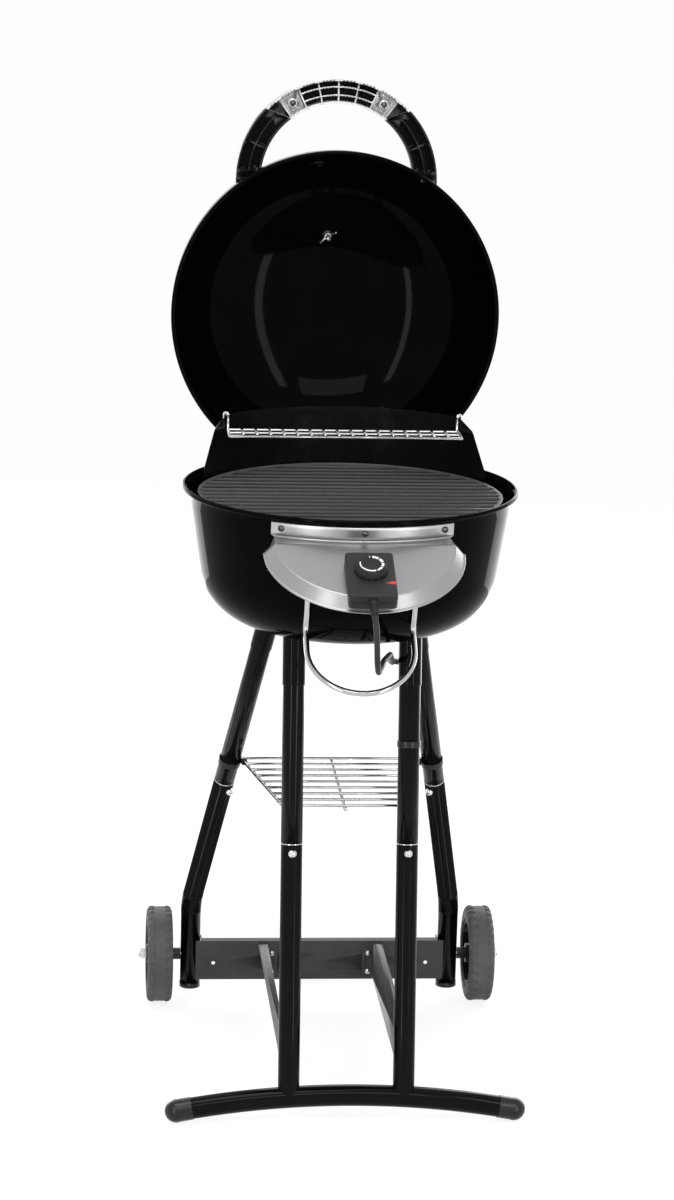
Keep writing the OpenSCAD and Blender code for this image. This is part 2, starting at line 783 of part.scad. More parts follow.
// Flat top, turned-down border and thin lip as one sheet
module tray_shell() {
  rows = [
    lifted(tray_edge(tray_half, tray_reach), 0),
    lifted(tray_edge(tray_half + border_w, tray_reach + border_w), -border_drop),
    lifted(tray_edge(tray_half + border_w + lip_w, tray_reach + border_w + lip_w), -border_drop)
  ];
  n = len(rows[0]);
  under = [for (row = rows) [for (q = row) q - [0, 0, tray_sheet]]];
  points = concat(rows[0], rows[1], rows[2], under[0], under[1], under[2]);
  back = [0, n, 2 * n, 5 * n, 4 * n, 3 * n];
  faces = concat(
    [[for (i = [0:n - 1]) i]],
    [[for (i = [n - 1:-1:0]) 3 * n + i]],
    [for (k = [0, 1], i = [0:n - 2]) [k * n + i, k * n + n + i, k * n + n + i + 1, k * n + i + 1]],
    [for (k = [3, 4], i = [0:n - 2]) [k * n + i + 1, k * n + n + i + 1, k * n + n + i, k * n + i]],
    [for (i = [0:n - 2]) [2 * n + i, 5 * n + i, 5 * n + i + 1, 2 * n + i + 1]],
    [concat([for (k = back) k + n - 1], reversed(back))]);
  polyhedron(points, faces);
}

// Silver tray with a curved flange screwed to the front of the bowl
module front_tray() {
  in_frame() color("#b9bcc1") difference() {
    union() {
      difference() {
        on_tray() tray_shell();
        bowl_form(seat_gap);
        translate([0, 0, tray_z]) cylinder(r = rim_d, h = 100);
      }
      difference() {
        translate([0.5 - tray_half, tray_y + 0.6, tray_z - tray_sheet])
          cube([2 * tray_half - 1, 80, tray_sheet]);
        bowl_form(seat_gap);
      }
      rotate([0, 0, -90 - strip_half]) rotate_extrude(angle = 2 * strip_half) polygon([
        [wall_r(tray_z - 2, seat_gap), tray_z - 2],
        [wall_r(tray_z - 2, seat_gap + tray_sheet), tray_z - 2],
        [wall_r(strip_top, seat_gap + tray_sheet), strip_top],
        [wall_r(strip_top, seat_gap), strip_top]]);
    }
    for (a = tray_screw_angles) {
      on_wall(a, tray_screw_z, 0) screw_hole(4, 8);
    }
    on_tray() translate([0, box_v + 8, 0]) cylinder(d = 14, h = 20, center = true);
  }
}

module tray_screws() {
  in_frame() color("silver") for (a = tray_screw_angles) {
    on_wall(a, tray_screw_z, seat_gap + tray_sheet + 0.1) screw(4, 8);
  }
}

// ================================================================ controller

module box_plan(h, inset) {
  translate([0, box_v + box_l / 2, 0]) linear_extrude(h)
    polygon(round_box(box_w - 2 * inset, box_l - 2 * inset, 5));
}

module controller_base() {
  in_frame() color("#151517") on_tray() difference() {
    box_plan(box_split, 0);
    translate([0, 0, box_wall]) box_plan(box_split, box_wall);
    translate([0, box_v + 8, 0]) cylinder(d = 12, h = 20, center = true);
    translate([0, box_end - 10, gland_w]) rotate([-90, 0, 0]) cylinder(d = 10.5, h = 20);
  }
}

module controller_cover() {
  in_frame() color("#19191b") on_tray() difference() {
    hull() {
      translate([0, 0, box_split]) box_plan(0.2, 0);
      translate([0, 0, box_h - 2]) box_plan(0.2, 0.6);
      translate([0, 0, box_h - 0.2]) box_plan(0.2, 2.2);
    }
    translate([0, 0, box_split - 1]) box_plan(box_h - box_split + 1 - box_wall, cover_wall);
    translate([0, dial_v, 0]) cylinder(d = shaft_d + 2 * seat_gap, h = 60);
    translate([lamp_u - lamp_w / 2, lamp_v - lamp_l / 2, 0]) cube([lamp_w, lamp_l, 60]);
    translate([0, box_end - 10, gland_w]) rotate([-90, 0, 0]) cylinder(d = 10.5, h = 20);
  }
}

// Round dial with a fluted skirt and a raised pointer
module control_dial() {
  r = dial_d / 2;
  in_frame() color("#202022") on_tray() translate([0, dial_v, dial_w]) difference() {
    union() {
      linear_extrude(dial_h - 2) polygon([for (i = [0:95])
        (r - 0.45 + 0.45 * cos(i * 1440 / 16)) * [cos(i * 3.75), sin(i * 3.75)]]);
      cylinder(r = r - 2.2, h = dial_h);
      translate([-1.2, -r + 3, 0]) cube([2.4, r - 6, dial_h + 0.8]);
    }
    translate([0, 0, -1]) cylinder(d = shaft_d + 2 * run_gap, h = dial_h - 1.5);
  }
}

module dial_shaft() {
  in_frame() color("silver") on_tray() translate([0, dial_v, box_split]) {
    cylinder(d = shaft_d, h = dial_w - box_split + dial_h - 3);
    cylinder(d = shaft_d + 6, h = 3);
  }
}

module indicator_lens() {
  g = run_gap;
  in_frame() color("red") on_tray() {
    translate([lamp_u - lamp_w / 2 + g, lamp_v - lamp_l / 2 + g, box_h - box_wall - 1])
      cube([lamp_w - 2 * g, lamp_l - 2 * g, box_wall + 1.8]);
    translate([lamp_u - lamp_w / 2 - 1, lamp_v - lamp_l / 2 - 1, box_h - box_wall - 2.5])
      cube([lamp_w + 2, lamp_l + 2, 1.5]);
  }
}

// Tapered strain relief round the cord
module cord_gland() {
  inside = box_wall - cover_wall - seat_gap;
  flange_r = gland_w - box_wall - seat_gap;
  in_frame() color("#101010") on_tray() translate([0, box_end - box_wall, gland_w])
    rotate([-90, 0, 0]) rotate_extrude() polygon([
      [0, inside - 3], [flange_r, inside - 3], [flange_r, inside], [5, inside],
      [5, box_wall + seat_gap],
      [6.5, box_wall + seat_gap], [6.3, box_wall + 3], [5.2, box_wall + 4],
      [4.6, box_wall + gland_l], [0, box_wall + gland_l]]);
}

// ================================================================ front rail

rail_top = rim_z - 75;
rail_hug = rail_d / 2 + 1.8;
rail_slope = 37.5;
function rail_y(z) = -sqrt(pow(wall_r(z, rail_hug), 2) - pow(rail_x, 2));
rail_knee = bowl_z + 32;

module rail_end() {
  translate([rail_x, rail_y(rail_top) + 8, rail_top]) rotate([90, 0, 0]) children();
}

// Chromed rod from the wall down the bowl and forward in a half circle
module front_rail() {
  knee_y = rail_y(rail_knee);
  way = [0, -cos(rail_slope), -sin(rail_slope)];
  tip = [rail_x, knee_y, rail_knee] + 30 * way;
  in_frame() color("silver") {
    both_sides() bent_rod([
      [rail_x, rail_y(rail_top) + 16, rail_top], [rail_x, rail_y(rail_top), rail_top],
      [rail_x, rail_y(bowl_z + 58) - 0.8, bowl_z + 58],
      [rail_x, knee_y, rail_knee], tip + knit_l * way], rail_d, 7);
    translate([0, tip[1], tip[2]]) rotate([180 + rail_slope, 0, 0])
      rotate_extrude(angle = 180) translate([rail_x, 0]) circle(d = rail_d + knit_d(rail_d));
  }
}

// ================================================================ lid

handle_mid = handle_r - handle_band / 2;
handle_hole_h = handle_up + handle_deep / 2;
handle_hole_a = asin(handle_mid / dome_at(handle_hole_h));
foot_seat = handle_reach - sqrt(pow(dome_at(handle_hole_h), 2) - pow(handle_mid, 2));
arm_back = handle_reach - sqrt(pow(dome_r, 2) - pow(handle_r, 2)) + 20;

// Places a piece square to the lid's side, at angle a from the front and height h, off out of it
module on_lid(a, h, off) {
  r = dome_at(h);
  rise = 90 - dome_tilt(r, h);
  way = [sin(a) * cos(rise), -cos(a) * cos(rise), sin(rise)];
  facing([r * sin(a), -r * cos(a), h] + off * way, way) children();
}

module lid_shell() {
  face = dome_face(28);
  in_frame() color("#0e0e10") lid_open() difference() {
    rotate_extrude() {
      polygon(concat(sheet_outline(face, lid_sheet)));
      translate([lid_c, 0]) circle(r = bead_r);
    }
    for (a = [-handle_hole_a, handle_hole_a]) {
      on_lid(a, handle_hole_h, 0) screw_hole(5, 12);
    }
    for (a = leaf_screw_angles) {
      on_lid(a, leaf_screw_h, 0) screw_hole(5, 12);
    }
    gauge_place(0) cylinder(d = stem_d + 2 * seat_gap, h = 20, center = true);
  }
}

// Section of the handle's channel, open at the bottom
module channel_section() {
  r = handle_r - handle_band;
  polygon([
    [r, 0], [r + handle_wall, 0], [r + handle_wall, handle_deep - handle_wall],
    [handle_r - handle_wall, handle_deep - handle_wall], [handle_r - handle_wall, 0],
    [handle_r, 0], [handle_r, handle_deep - 3], [handle_r - 3, handle_deep],
    [r + 3, handle_deep], [r, handle_deep - 3]]);
}

// Whole arch of the handle, reaching back through the lid's wall
module handle_arch() {
  rotate([0, 0, 180]) rotate_extrude(angle = 180) channel_section();
  both_sides() rotate([-90, 0, 0]) linear_extrude(arm_back) mirror([0, 1]) channel_section();
}

// Ribs across the channel at angle a either side of the middle
module cross_rib(a) {
  rotate([0, 0, a - 90]) translate([handle_r - handle_band + 1, -handle_rib / 2, 1.5])
    cube([handle_band - 2, handle_rib, handle_deep - 3]);
}

// Rib along the channel at radius r, between angles a0 and a1 from the middle
module long_rib(r, a0, a1) {
  rotate([0, 0, a0 - 90]) rotate_extrude(angle = a1 - a0)
    translate([r - handle_rib / 2, 1.5]) square([handle_rib, handle_deep - 3]);
}

// Outline of the silver grip's stretch of the arch, grown at its ends
module grip_plan(grow) {
  inner = handle_r - handle_band;
  a = inner * [sin(grip_inner), -cos(grip_inner)];
  b = handle_r * [sin(grip_outer), -cos(grip_outer)];
  u = unit(b - a);
  shift = grow * [-u[1], u[0]] * -1;
  p = a - 30 * u - shift;
  q = b + 40 * u - shift;
  polygon([p, q, [0, -handle_r - 60], [-q[0], q[1]], [-p[0], p[1]]]);
}

module on_handle() {
  in_frame() lid_open() translate([0, -handle_reach, handle_up]) children();
}

grip_screw_a = 31;

// Silver middle of the handle with its grid of ribs
module handle_grip() {
  third = handle_band / 3;
  inner = handle_r - handle_band;
  color("silver") on_handle() difference() {
    intersection() {
      union() {
        handle_arch();
        for (a = [-24, -12, 0, 12, 24, -37, 37]) {
          cross_rib(a);
        }
        long_rib(inner + third, -24, 24);
        long_rib(inner + 2 * third, -24, 24);
        for (a = [-grip_screw_a, grip_screw_a]) {
          rotate([0, 0, a - 90]) translate([handle_mid, 0, 2])
            cylinder(d = 12, h = handle_deep - 3);
        }
      }
      translate([0, 0, -1]) linear_extrude(handle_deep + 2) grip_plan(0);
    }
    for (a = [-grip_screw_a, grip_screw_a]) {
      rotate([0, 0, a - 90]) translate([handle_mid, 0, -1])
        cylinder(d = 4 + 2 * screw_gap, h = handle_deep - 4);
    }
  }
}

// Right-hand arm of the handle; its end is shaped to the lid
module handle_arm() {
  difference() {
    union() {
      handle_arch();
      long_rib(handle_mid, 47, 88);
      cross_rib(67);
      cross_rib(86.5);
      translate([handle_r - handle_band + 1, foot_seat - 7, 0])
        cube([handle_band - 2, 36, handle_deep - 1]);
    }
    translate([0, 0, -1]) linear_extrude(handle_deep + 2) grip_plan(0.2);
    translate([-handle_r - 5, -handle_r - 5, -1]) cube([handle_r + 5, 2 * handle_r, 40]);
    translate([0, handle_reach, -handle_up]) lid_form(seat_gap);
    translate([0, handle_reach, -handle_up]) on_lid(handle_hole_a, handle_hole_h, 0)
      cylinder(d = 5 + 2 * screw_gap, h = 16);
  }
}

module handle_arm_right() {
  color("#1a1a1c") on_handle() handle_arm();
}

module handle_arm_left() {
  color("#1a1a1c") on_handle() mirror([1, 0, 0]) handle_arm();
}

// Screws of the handle, put in from inside the lid, and of the hinge leaf
module lid_screws() {
  in_frame() color("silver") lid_open() {
    for (a = [-handle_hole_a, handle_hole_a]) {
      on_lid(a, handle_hole_h, -lid_sheet - 0.5) rotate([180, 0, 0]) screw(5, 13);
    }
    for (a = leaf_screw_angles) {
      on_lid(a, leaf_screw_h, seat_gap + hinge_sheet - 0.7) screw(5, 9);
    }
    for (a = [-grip_screw_a, grip_screw_a]) {
      translate([0, -handle_reach, handle_up]) rotate([0, 0, a - 90])
        translate([handle_mid, 0, 1.8]) rotate([180, 0, 0]) screw(4, 9);
    }
  }
}

// ================================================================ thermometer

gauge_h = dome_over(gauge_out);
gauge_tilt = dome_tilt(gauge_out, gauge_h);

// Stands a piece square on the dome, w above its face
module gauge_place(w) {
  translate([0, -gauge_out, gauge_h]) rotate([gauge_tilt, 0, 0]) translate([0, 0, w]) children();
}

module thermometer_case() {
  in_frame() color("#d0d0d2") lid_open() gauge_place(seat_gap) difference() {
    cylinder(d = gauge_d, h = gauge_deep);
    translate([0, 0, 2]) cylinder(d = gauge_d - 5, h = gauge_deep);
    translate([0, 0, -1]) cylinder(d = stem_d + 2 * run_gap, h = 5);
  }
}

module thermometer_dial() {
  in_frame() color("white") lid_open() gauge_place(seat_gap + 2) difference() {
    cylinder(d = gauge_d - 5.6, h = 3);
    translate([0, 0, -1]) cylinder(d = 3, h = 5);
  }
}

module thermometer_needle() {
  in_frame() color("red") lid_open() gauge_place(seat_gap + 2) {
    translate([0, 0, 0.3]) cylinder(d = 2.8, h = 4.7);
    translate([0, 0, 3.5]) cylinder(d = 5, h = 1.5);
    rotate([0, 0, 210]) translate([-0.6, -5, 3.8]) cube([1.2, 21, 0.8]);
  }
}

module thermometer_lens() {
  in_frame() color("lightgray", 0.4) lid_open() gauge_place(seat_gap + gauge_deep - 3)
    cylinder(d = gauge_d - 5.6, h = 2);
}

// Threaded stem through the dome, with its flange inside the case's floor
module thermometer_stem() {
  in_frame() color("silver") lid_open() gauge_place(0)
    translate([0, 0, -22]) cylinder(d = stem_d, h = 22 + seat_gap + 1.8);
}

// Wing nut that holds the thermometer from inside the dome
module wing_nut() {
  in_frame() color("silver") lid_open() gauge_place(-lid_sheet - 0.9) rotate([180, 0, 0])
    difference() {
      union() {
        cylinder(d = 13, h = 1.2);
        cylinder(d = 10, h = 7);
        for (a = [35, 215]) {
          rotate([0, 0, a]) rotate([90, 0, 0]) translate([0, 0, -1]) linear_extrude(2) polygon(concat(
            [[4, 1.2]], arc([11, 9], 4, -60, 100, 6), [[4, 7]]));
        }
      }
      translate([0, 0, -1]) cylinder(d = stem_d + 2 * run_gap, h = 20);
    }
}

// ================================================================ hinge

leaf_screw_angles = [171, 189];
leaf_screw_h = 32;
eye_r = pin_d / 2 + 5;

// Curved leaf on the lid's back wall with two arms down to the pin
module hinge_leaf() {
  drop = lid_z - hinge_z;
  rows = [for (i = [0:5]) let (h = leaf_low + (leaf_high - leaf_low) * i / 5)
    [dome_at(h) + seat_gap, h]];
  spread = asin(arm_out / dome_r) + 0.3;
  inner = function (h) sqrt(pow(dome_at(h) + seat_gap + 0.8, 2) - pow(arm_out, 2));
  in_frame() color("#1a1a1a") lid_open() difference() {
    union() {
      rotate([0, 0, 90 - spread]) rotate_extrude(angle = 2 * spread)
        polygon(sheet_outline(reversed(rows), hinge_sheet - 0.8));
      both_sides() translate([arm_in, 0, 0]) rotate([90, 0, 90]) linear_extrude(hinge_sheet)
        polygon([
          [inner(leaf_low + 1), leaf_low + 1], [inner(leaf_high - 1), leaf_high - 1],
          [dome_r + 2, leaf_high - 1], [hinge_y + eye_r, 8], [hinge_y + eye_r, -drop],
          [hinge_y - eye_r, -drop], [hinge_y - eye_r + 1.5, -drop + 22],
          [lid_c + bead_r + 0.8, -bead_r - 4], [lid_c + bead_r + 0.8, leaf_low - 6]]);
      both_sides() translate([arm_in, hinge_y, -drop]) rotate([0, 90, 0])
        cylinder(r = eye_r, h = hinge_sheet);
    }
    translate([0, hinge_y, -drop]) rotate([0, 90, 0])
      cylinder(d = pin_d + 2 * run_gap, h = hinge_w + 20, center = true);
    for (a = leaf_screw_angles) {
      on_lid(a, leaf_screw_h, 0) screw_hole(5, 12);
    }
  }
}

// Curved plate on the bowl's back wall with two ears that hold the pin
module hinge_bracket() {
  spread = asin((ear_out - 1) / wall_r(hinge_z));
  inner = function (z) sqrt(pow(wall_r(z, seat_gap + 1), 2) - pow(ear_out, 2));
  in_frame() color("#161616") difference() {
    union() {
      rotate([0, 0, 90 - spread]) rotate_extrude(angle = 2 * spread) polygon([
        [wall_r(bracket_low, seat_gap), bracket_low],
        [wall_r(bracket_low, seat_gap + 2), bracket_low],
        [wall_r(bracket_high, seat_gap + 2), bracket_high],
        [wall_r(bracket_high, seat_gap), bracket_high]]);
      both_sides() translate([ear_in, 0, 0]) rotate([90, 0, 90]) linear_extrude(hinge_sheet)
        polygon([
          [inner(bracket_low), bracket_low], [inner(bracket_low) + 8, bracket_low],
          [hinge_y, hinge_z - eye_r], [hinge_y, hinge_z + eye_r],
          [hinge_y - eye_r, bracket_high], [inner(bracket_high), bracket_high]]);
      both_sides() translate([ear_in, hinge_y, hinge_z]) rotate([0, 90, 0])
        cylinder(r = eye_r, h = hinge_sheet);
    }
    translate([0, hinge_y, hinge_z]) rotate([0, 90, 0])
      cylinder(d = pin_d + 2 * run_gap, h = hinge_w + 20, center = true);
    for (a = bracket_screw_angles) {
      on_wall(a, hinge_z - 15, 0) screw_hole(5, 8);
    }
  }
}

module hinge_pin() {
  in_frame() color("silver") translate([-pin_l / 2, hinge_y, hinge_z]) rotate([0, 90, 0]) {
    cylinder(d = pin_d, h = pin_l);
    cylinder(d = pin_d + 4, h = (pin_l - hinge_w) / 2 - seat_gap);
    translate([0, 0, (pin_l + hinge_w) / 2 + seat_gap])
      cylinder(d = pin_d + 4, h = (pin_l - hinge_w) / 2 - seat_gap);
  }
}

// Screws of the wind guard and of the hinge bracket
module bowl_screws() {
  in_frame() color("silver") {
    for (a = guard_screw_angles) {
      on_wall(a, guard_screw_z, 0.2) screw(4, 7);
    }
    for (a = bracket_screw_angles) {
      on_wall(a, hinge_z - 15, seat_gap + 2.1) screw(5, 9);
    }
  }
}

// ================================================================ stand

// Places a socket's bolt upright, under its head inside the bowl
module socket_bolt(top) {
  r = norm([top[0], top[1]]);
  translate([top[0], top[1], under_bowl(r + 6, -bowl_sheet) + 0.2]) children();
}

module leg_socket(top, way) {
  difference() {
    rod(top - socket_l * way, top + 24 * way, socket_d);
    rod(top - (socket_l + 1) * way, top - socket_roof * way, leg_d + 2 * seat_gap);
    bowl_form(seat_gap);
    translate([0, 0, corner_z]) cylinder(r = rim_d, h = 100);
    socket_bolt(top) screw_hole(6, 20);
  }
}

// Four sockets under the bowl, shaped to its corner
module leg_sockets() {
  in_frame() color("#131313") both_sides() {
    leg_socket(front_high, front_way);
    leg_socket(rear_high, rear_way);
  }
}

// Wished directions of the joints' screws
front_wish = [0, -1, 0];
rear_wish = [-0.6, -0.8, 0];

module joint_hole(joint, way, wish) {
  facing(joint - joint_screw * way, square_to(way, wish)) translate([0, 0, leg_r - 5])
    cylinder(d = 5 + 2 * screw_gap, h = 12);
}

// Upper length of a leg, from its socket to the joint, with the spigot below
module upper_leg(top, joint, way, wish) {
  l = norm(top - joint) - socket_roof - seat_gap;
  spigot_r = leg_in - run_gap;
  difference() {
    facing(joint, way) rotate_extrude() polygon([
      [leg_in, l], [leg_r, l], [leg_r, 0], [spigot_r, 0], [spigot_r, -spigot_l],
      [spigot_r - leg_wall, -spigot_l], [spigot_r - leg_wall, 14], [leg_in, 16]]);
    joint_hole(joint, way, wish);
  }
}

module front_legs_upper() {
  in_frame() color("#0c0c0d") both_sides()
    upper_leg(front_high, front_joint, front_way, front_wish);
}

module rear_legs_upper() {
  in_frame() color("#0c0c0d") both_sides()
    upper_leg(rear_high, rear_joint, rear_way, rear_wish);
}

// Lower lengths of the front legs, cut to the foot's curve
module front_legs_lower() {
  in_frame() color("#0c0c0d") both_sides() difference() {
    pipe(front_joint - seat_gap * front_way, front_low, leg_d, leg_wall);
    foot_arc(leg_r + 0.2, foot_angle);
    joint_hole(front_joint, front_way, front_wish);
  }
}

// Lower lengths of the rear legs, bent upright at the wheels and bored for the axle
module rear_legs_lower() {
  points = [rear_joint - seat_gap * rear_way, rear_bend, rear_low];
  in_frame() color("#0c0c0d") both_sides() difference() {
    bent_pipe(points, leg_d, leg_wall, bend_r);
    joint_hole(rear_joint, rear_way, rear_wish);
    translate([0, axle_back, axle_z]) rotate([0, 90, 0])
      cylinder(d = axle_d + 2 * seat_gap, h = 3 * rear_leg_x);
  }
}

// Height of the foot's centre line at distance x from the middle
function foot_height(x) = foot_mid_z - foot_radius + sqrt(pow(foot_radius, 2) - x * x);
function leg_rear_y(z) = at_height(front_low, front_high, z)[1]
  + leg_r / cos(atan((foot_front - front_top_y) / (front_high[2] - front_low[2])));

module foot_arc(r, half) {
  translate([0, foot_y, foot_mid_z - foot_radius]) rotate([90, 0, 0])
    rotate([0, 0, 90 - half]) rotate_extrude(angle = 2 * half, $fn = 360)
      translate([foot_radius, 0]) circle(r = r, $fn = 48);
}

foot_tube_angle = foot_angle - foot_short / foot_radius * 180 / PI;

module front_foot() {
  in_frame() color("#0b0b0c") difference() {
    foot_arc(leg_r, foot_tube_angle);
    foot_arc(leg_in, foot_tube_angle + 0.2);
  }
}

// Cap whose sleeve fits the foot's end, with its axis along the foot there
module foot_cap() {
  a = foot_angle - cap_l / 2 / foot_radius * 180 / PI;
  middle = [foot_radius * sin(a), foot_y, foot_mid_z - foot_radius * (1 - cos(a))];
  facing(middle, [cos(a), 0, -sin(a)]) difference() {
    union() {
      translate([0, 0, -cap_l / 2]) cylinder(r = cap_r - cap_step, h = cap_l);
      translate([0, 0, cap_l / 2]) sphere(r = cap_r);
    }
    translate([0, 0, -cap_l]) cylinder(r = leg_r + run_gap, h = 1.5 * cap_l - foot_short + seat_gap);
  }
}

// Plastic caps over the foot's ends and plugs in the rear legs' ends
module end_caps() {
  in_frame() color("#1d1d1f") both_sides() {
    foot_cap();
    translate([rear_leg_x, axle_back, rear_end_z - 7]) {
      cylinder(d = leg_d + 1, h = 6.8);
      cylinder(r = leg_in - run_gap, h = 18);
    }
  }
}

// Screws of the leg joints and the braces, and bolts of the sockets
module stand_screws() {
  in_frame() color("silver") both_sides() {
    facing(front_joint - joint_screw * front_way, square_to(front_way, front_wish))
      translate([0, 0, leg_r + 0.1]) screw(5, 7);
    facing(rear_joint - joint_screw * rear_way, square_to(rear_way, rear_wish))
      translate([0, 0, leg_r + 0.1]) screw(5, 7);
    socket_bolt(front_high) screw(6, 16);
    socket_bolt(rear_high) screw(6, 16);
    for (z = brace_screw_z) {
      translate([brace_tab_x, crossbar_y - frame_sheet, z]) rotate([90, 0, 0]) screw(4, 8);
    }
  }
}

// ================================================================ lower frame and wheels

brace_screw_z = [brace_z + 7, brace_z + brace_h - 14];
brace_tab = 14;
brace_tab_x = brace_x - brace_tab / 2 + 1;

// Pressed channel between the rear legs, pierced by the axle at its ends
module rear_crossbar() {
  w = crossbar_half;
  t = frame_sheet;
  in_frame() color("#161617") difference() {
    union() {
      translate([-w - 7, crossbar_y, crossbar_z]) cube([2 * w + 14, t, crossbar_h]);
      translate([-w, crossbar_y, crossbar_z]) cube([2 * w, crossbar_deep / 2, t]);
      translate([-w, crossbar_y, crossbar_z + crossbar_h - t]) cube([2 * w, crossbar_deep / 2, t]);
      both_sides() translate([w - t, crossbar_y, crossbar_z]) cube([t, crossbar_deep, crossbar_h]);
    }
    translate([0, axle_back, axle_z]) rotate([0, 90, 0])
      cylinder(d = axle_d + 2 * seat_gap, h = 3 * w, center = true);
    both_sides() {
      translate([w - 17, crossbar_y - 1, crossbar_z + crossbar_h / 2 - 4]) rotate([-90, 0, 0])
        cylinder(d = 5, h = 5);
      for (z = brace_screw_z) {
        translate([brace_tab_x, crossbar_y, z]) rotate([90, 0, 0]) screw_hole(4, 6);
      }
    }
  }
}

// Angle-section braces from the crossbar to the front legs
module braces() {
  t = frame_sheet;
  front = at_height(front_low, front_high, brace_z + brace_h)[1];
  in_frame() color("#1b1b1c") both_sides() difference() {
    union() {
      translate([brace_x, front, brace_z]) cube([t, crossbar_y - front, brace_h]);
      translate([brace_x, front, brace_z + brace_h - t])
        cube([brace_flange, crossbar_y - front, t]);
      translate([brace_x - brace_tab, crossbar_y - t, brace_z]) cube([brace_tab + t, t, brace_h]);
    }
    rod(front_low - 40 * front_way, front_high, leg_d + 2 * seat_gap);
    for (z = brace_screw_z) {
      translate([brace_tab_x, crossbar_y, z]) rotate([90, 0, 0]) screw_hole(4, 6);
    }
  }
}

module axle() {
  in_frame() color("silver") translate([-axle_half, axle_back, axle_z]) rotate([0, 90, 0])
    cylinder(d = axle_d, h = 2 * axle_half);
}

module axle_bushes() {
  in_frame() color("#222224") both_sides() translate([bush_x, axle_back, axle_z])
    rotate([0, 90, 0]) difference() {
      cylinder(d = axle_d + 8, h = bush_l);
      translate([0, 0, -1]) cylinder(d = axle_d + 2 * run_gap, h = bush_l + 2);
    }
}

module axle_nuts() {
  in_frame() color("silver") both_sides() translate([nut_x, axle_back, axle_z])
    rotate([0, 90, 0]) difference() {
      cylinder(d = axle_d * 1.9, h = nut_l, $fn = 6);
      translate([0, 0, -1]) cylinder(d = axle_d + 2 * run_gap, h = nut_l + 2);
    }
}

// Puts a wheel's piece, drawn on Z with its middle at the origin, on the right-hand axle end
module at_wheel() {
  translate([wheel_x, axle_back, axle_z]) rotate([0, 90, 0]) children();
}

// Ring of lugs seen from the side, with grooves between them
function lug_outline(r) = let (step = 360 / lug_count) [for (i = [0:lug_count - 1])
  each concat(arc([0, 0], r, i * step, (i + 0.6) * step, 2),
    arc([0, 0], r - 2.5, (i + 0.66) * step, (i + 0.94) * step, 1))];

// Tyre with a smooth middle band and a ring of lugs on either side
module tyre() {
  r = wheel_d / 2;
  band = wheel_w * 0.22;
  side = wheel_w / 2 - band;
  color("#2a2a2c") difference() {
    union() {
      translate([0, 0, -band]) cylinder(r = r - band_deep, h = 2 * band);
      for (z = [-wheel_w / 2, band]) {
        translate([0, 0, z]) linear_extrude(side) polygon(lug_outline(r));
      }
    }
    translate([0, 0, -wheel_w]) cylinder(r = tyre_in, h = 2 * wheel_w);
  }
}

// Spoked hub with its boss bored for the axle
module hub() {
  rim = tyre_in - seat_gap;
  color("#1f1f21") difference() {
    union() {
      difference() {
        translate([0, 0, 1.5 - wheel_w / 2]) cylinder(r = rim, h = wheel_w - 3);
        translate([0, 0, -wheel_w]) cylinder(r = rim - 4, h = 2 * wheel_w);
      }
      translate([0, 0, -wheel_w / 2]) cylinder(r = axle_d / 2 + 9, h = wheel_w);
      for (i = [0:spoke_count - 1]) {
        rotate([0, 0, i * 360 / spoke_count]) translate([0, 0, -6]) linear_extrude(12)
          polygon([[4, -6], [rim - 2, -4], [rim - 2, 4], [4, 6]]);
      }
    }
    translate([0, 0, -wheel_w]) cylinder(d = axle_d + 2 * run_gap, h = 2 * wheel_w);
  }
}

module tyre_right() {
  in_frame() at_wheel() tyre();
}

module tyre_left() {
  in_frame() mirror([1, 0, 0]) at_wheel() tyre();
}

module hub_right() {
  in_frame() at_wheel() hub();
}

module hub_left() {
  in_frame() mirror([1, 0, 0]) at_wheel() hub();
}

// ================================================================ shelf

function side_x(y) = y > shelf_knee[1]
  ? shelf_knee[0] + (shelf_corner[0] - shelf_knee[0]) * (y - shelf_knee[1])
    / (shelf_corner[1] - shelf_knee[1])
  : shelf_front[0] + (shelf_knee[0] - shelf_front[0]) * (y - shelf_front[1])
    / (shelf_knee[1] - shelf_front[1]);
function at_shelf(p) = [p[0], p[1], shelf_z];
shelf_lift = (rail_wire + cross_wire) / 2 - 0.7;
cross_first = shelf_back - 3;

// Wire shelf between the four legs
module shelf() {
  in_frame() color("silver") {
    both_sides() bent_rod([at_shelf(shelf_corner), at_shelf(shelf_knee), at_shelf(shelf_front)],
      rail_wire, 90);
    for (i = [0:cross_count - 1]) {
      y = cross_first - i * cross_pitch;
      x = side_x(y) + rail_wire / 2;
      rod([-x, y, shelf_z + shelf_lift], [x, y, shelf_z + shelf_lift], cross_wire);
    }
    rod([0, shelf_back, shelf_z], [0, shelf_back - (cross_count - 1) * cross_pitch - 6, shelf_z],
      rail_wire);
  }
}

// Plastic clips on the rear legs with sockets for the shelf's side wires
module shelf_clips() {
  way = unit(at_shelf(shelf_knee) - at_shelf(shelf_corner));
  slot_r = cross_wire / 2 + run_gap;
  in_frame() color("#121212") both_sides() difference() {
    union() {
      rod(rear_at_shelf - 8 * rear_way, rear_at_shelf + 8 * rear_way, leg_d + 6);
      rod(rear_at_shelf, at_shelf(shelf_corner) + 10 * way, rail_wire + 6);
    }
    rod(rear_at_shelf - 30 * rear_way, rear_at_shelf + 30 * rear_way, leg_d + 2 * seat_gap);
    rod(at_shelf(shelf_corner) - 0.3 * way, at_shelf(shelf_corner) + 30 * way,
      rail_wire + 2 * run_gap);
    translate([0, cross_first, shelf_z + shelf_lift] - slot_r * [0, 1, 1])
      cube([side_x(cross_first) + rail_wire / 2 + seat_gap, 2 * slot_r, 20]);
  }
}

// ================================================================ cord

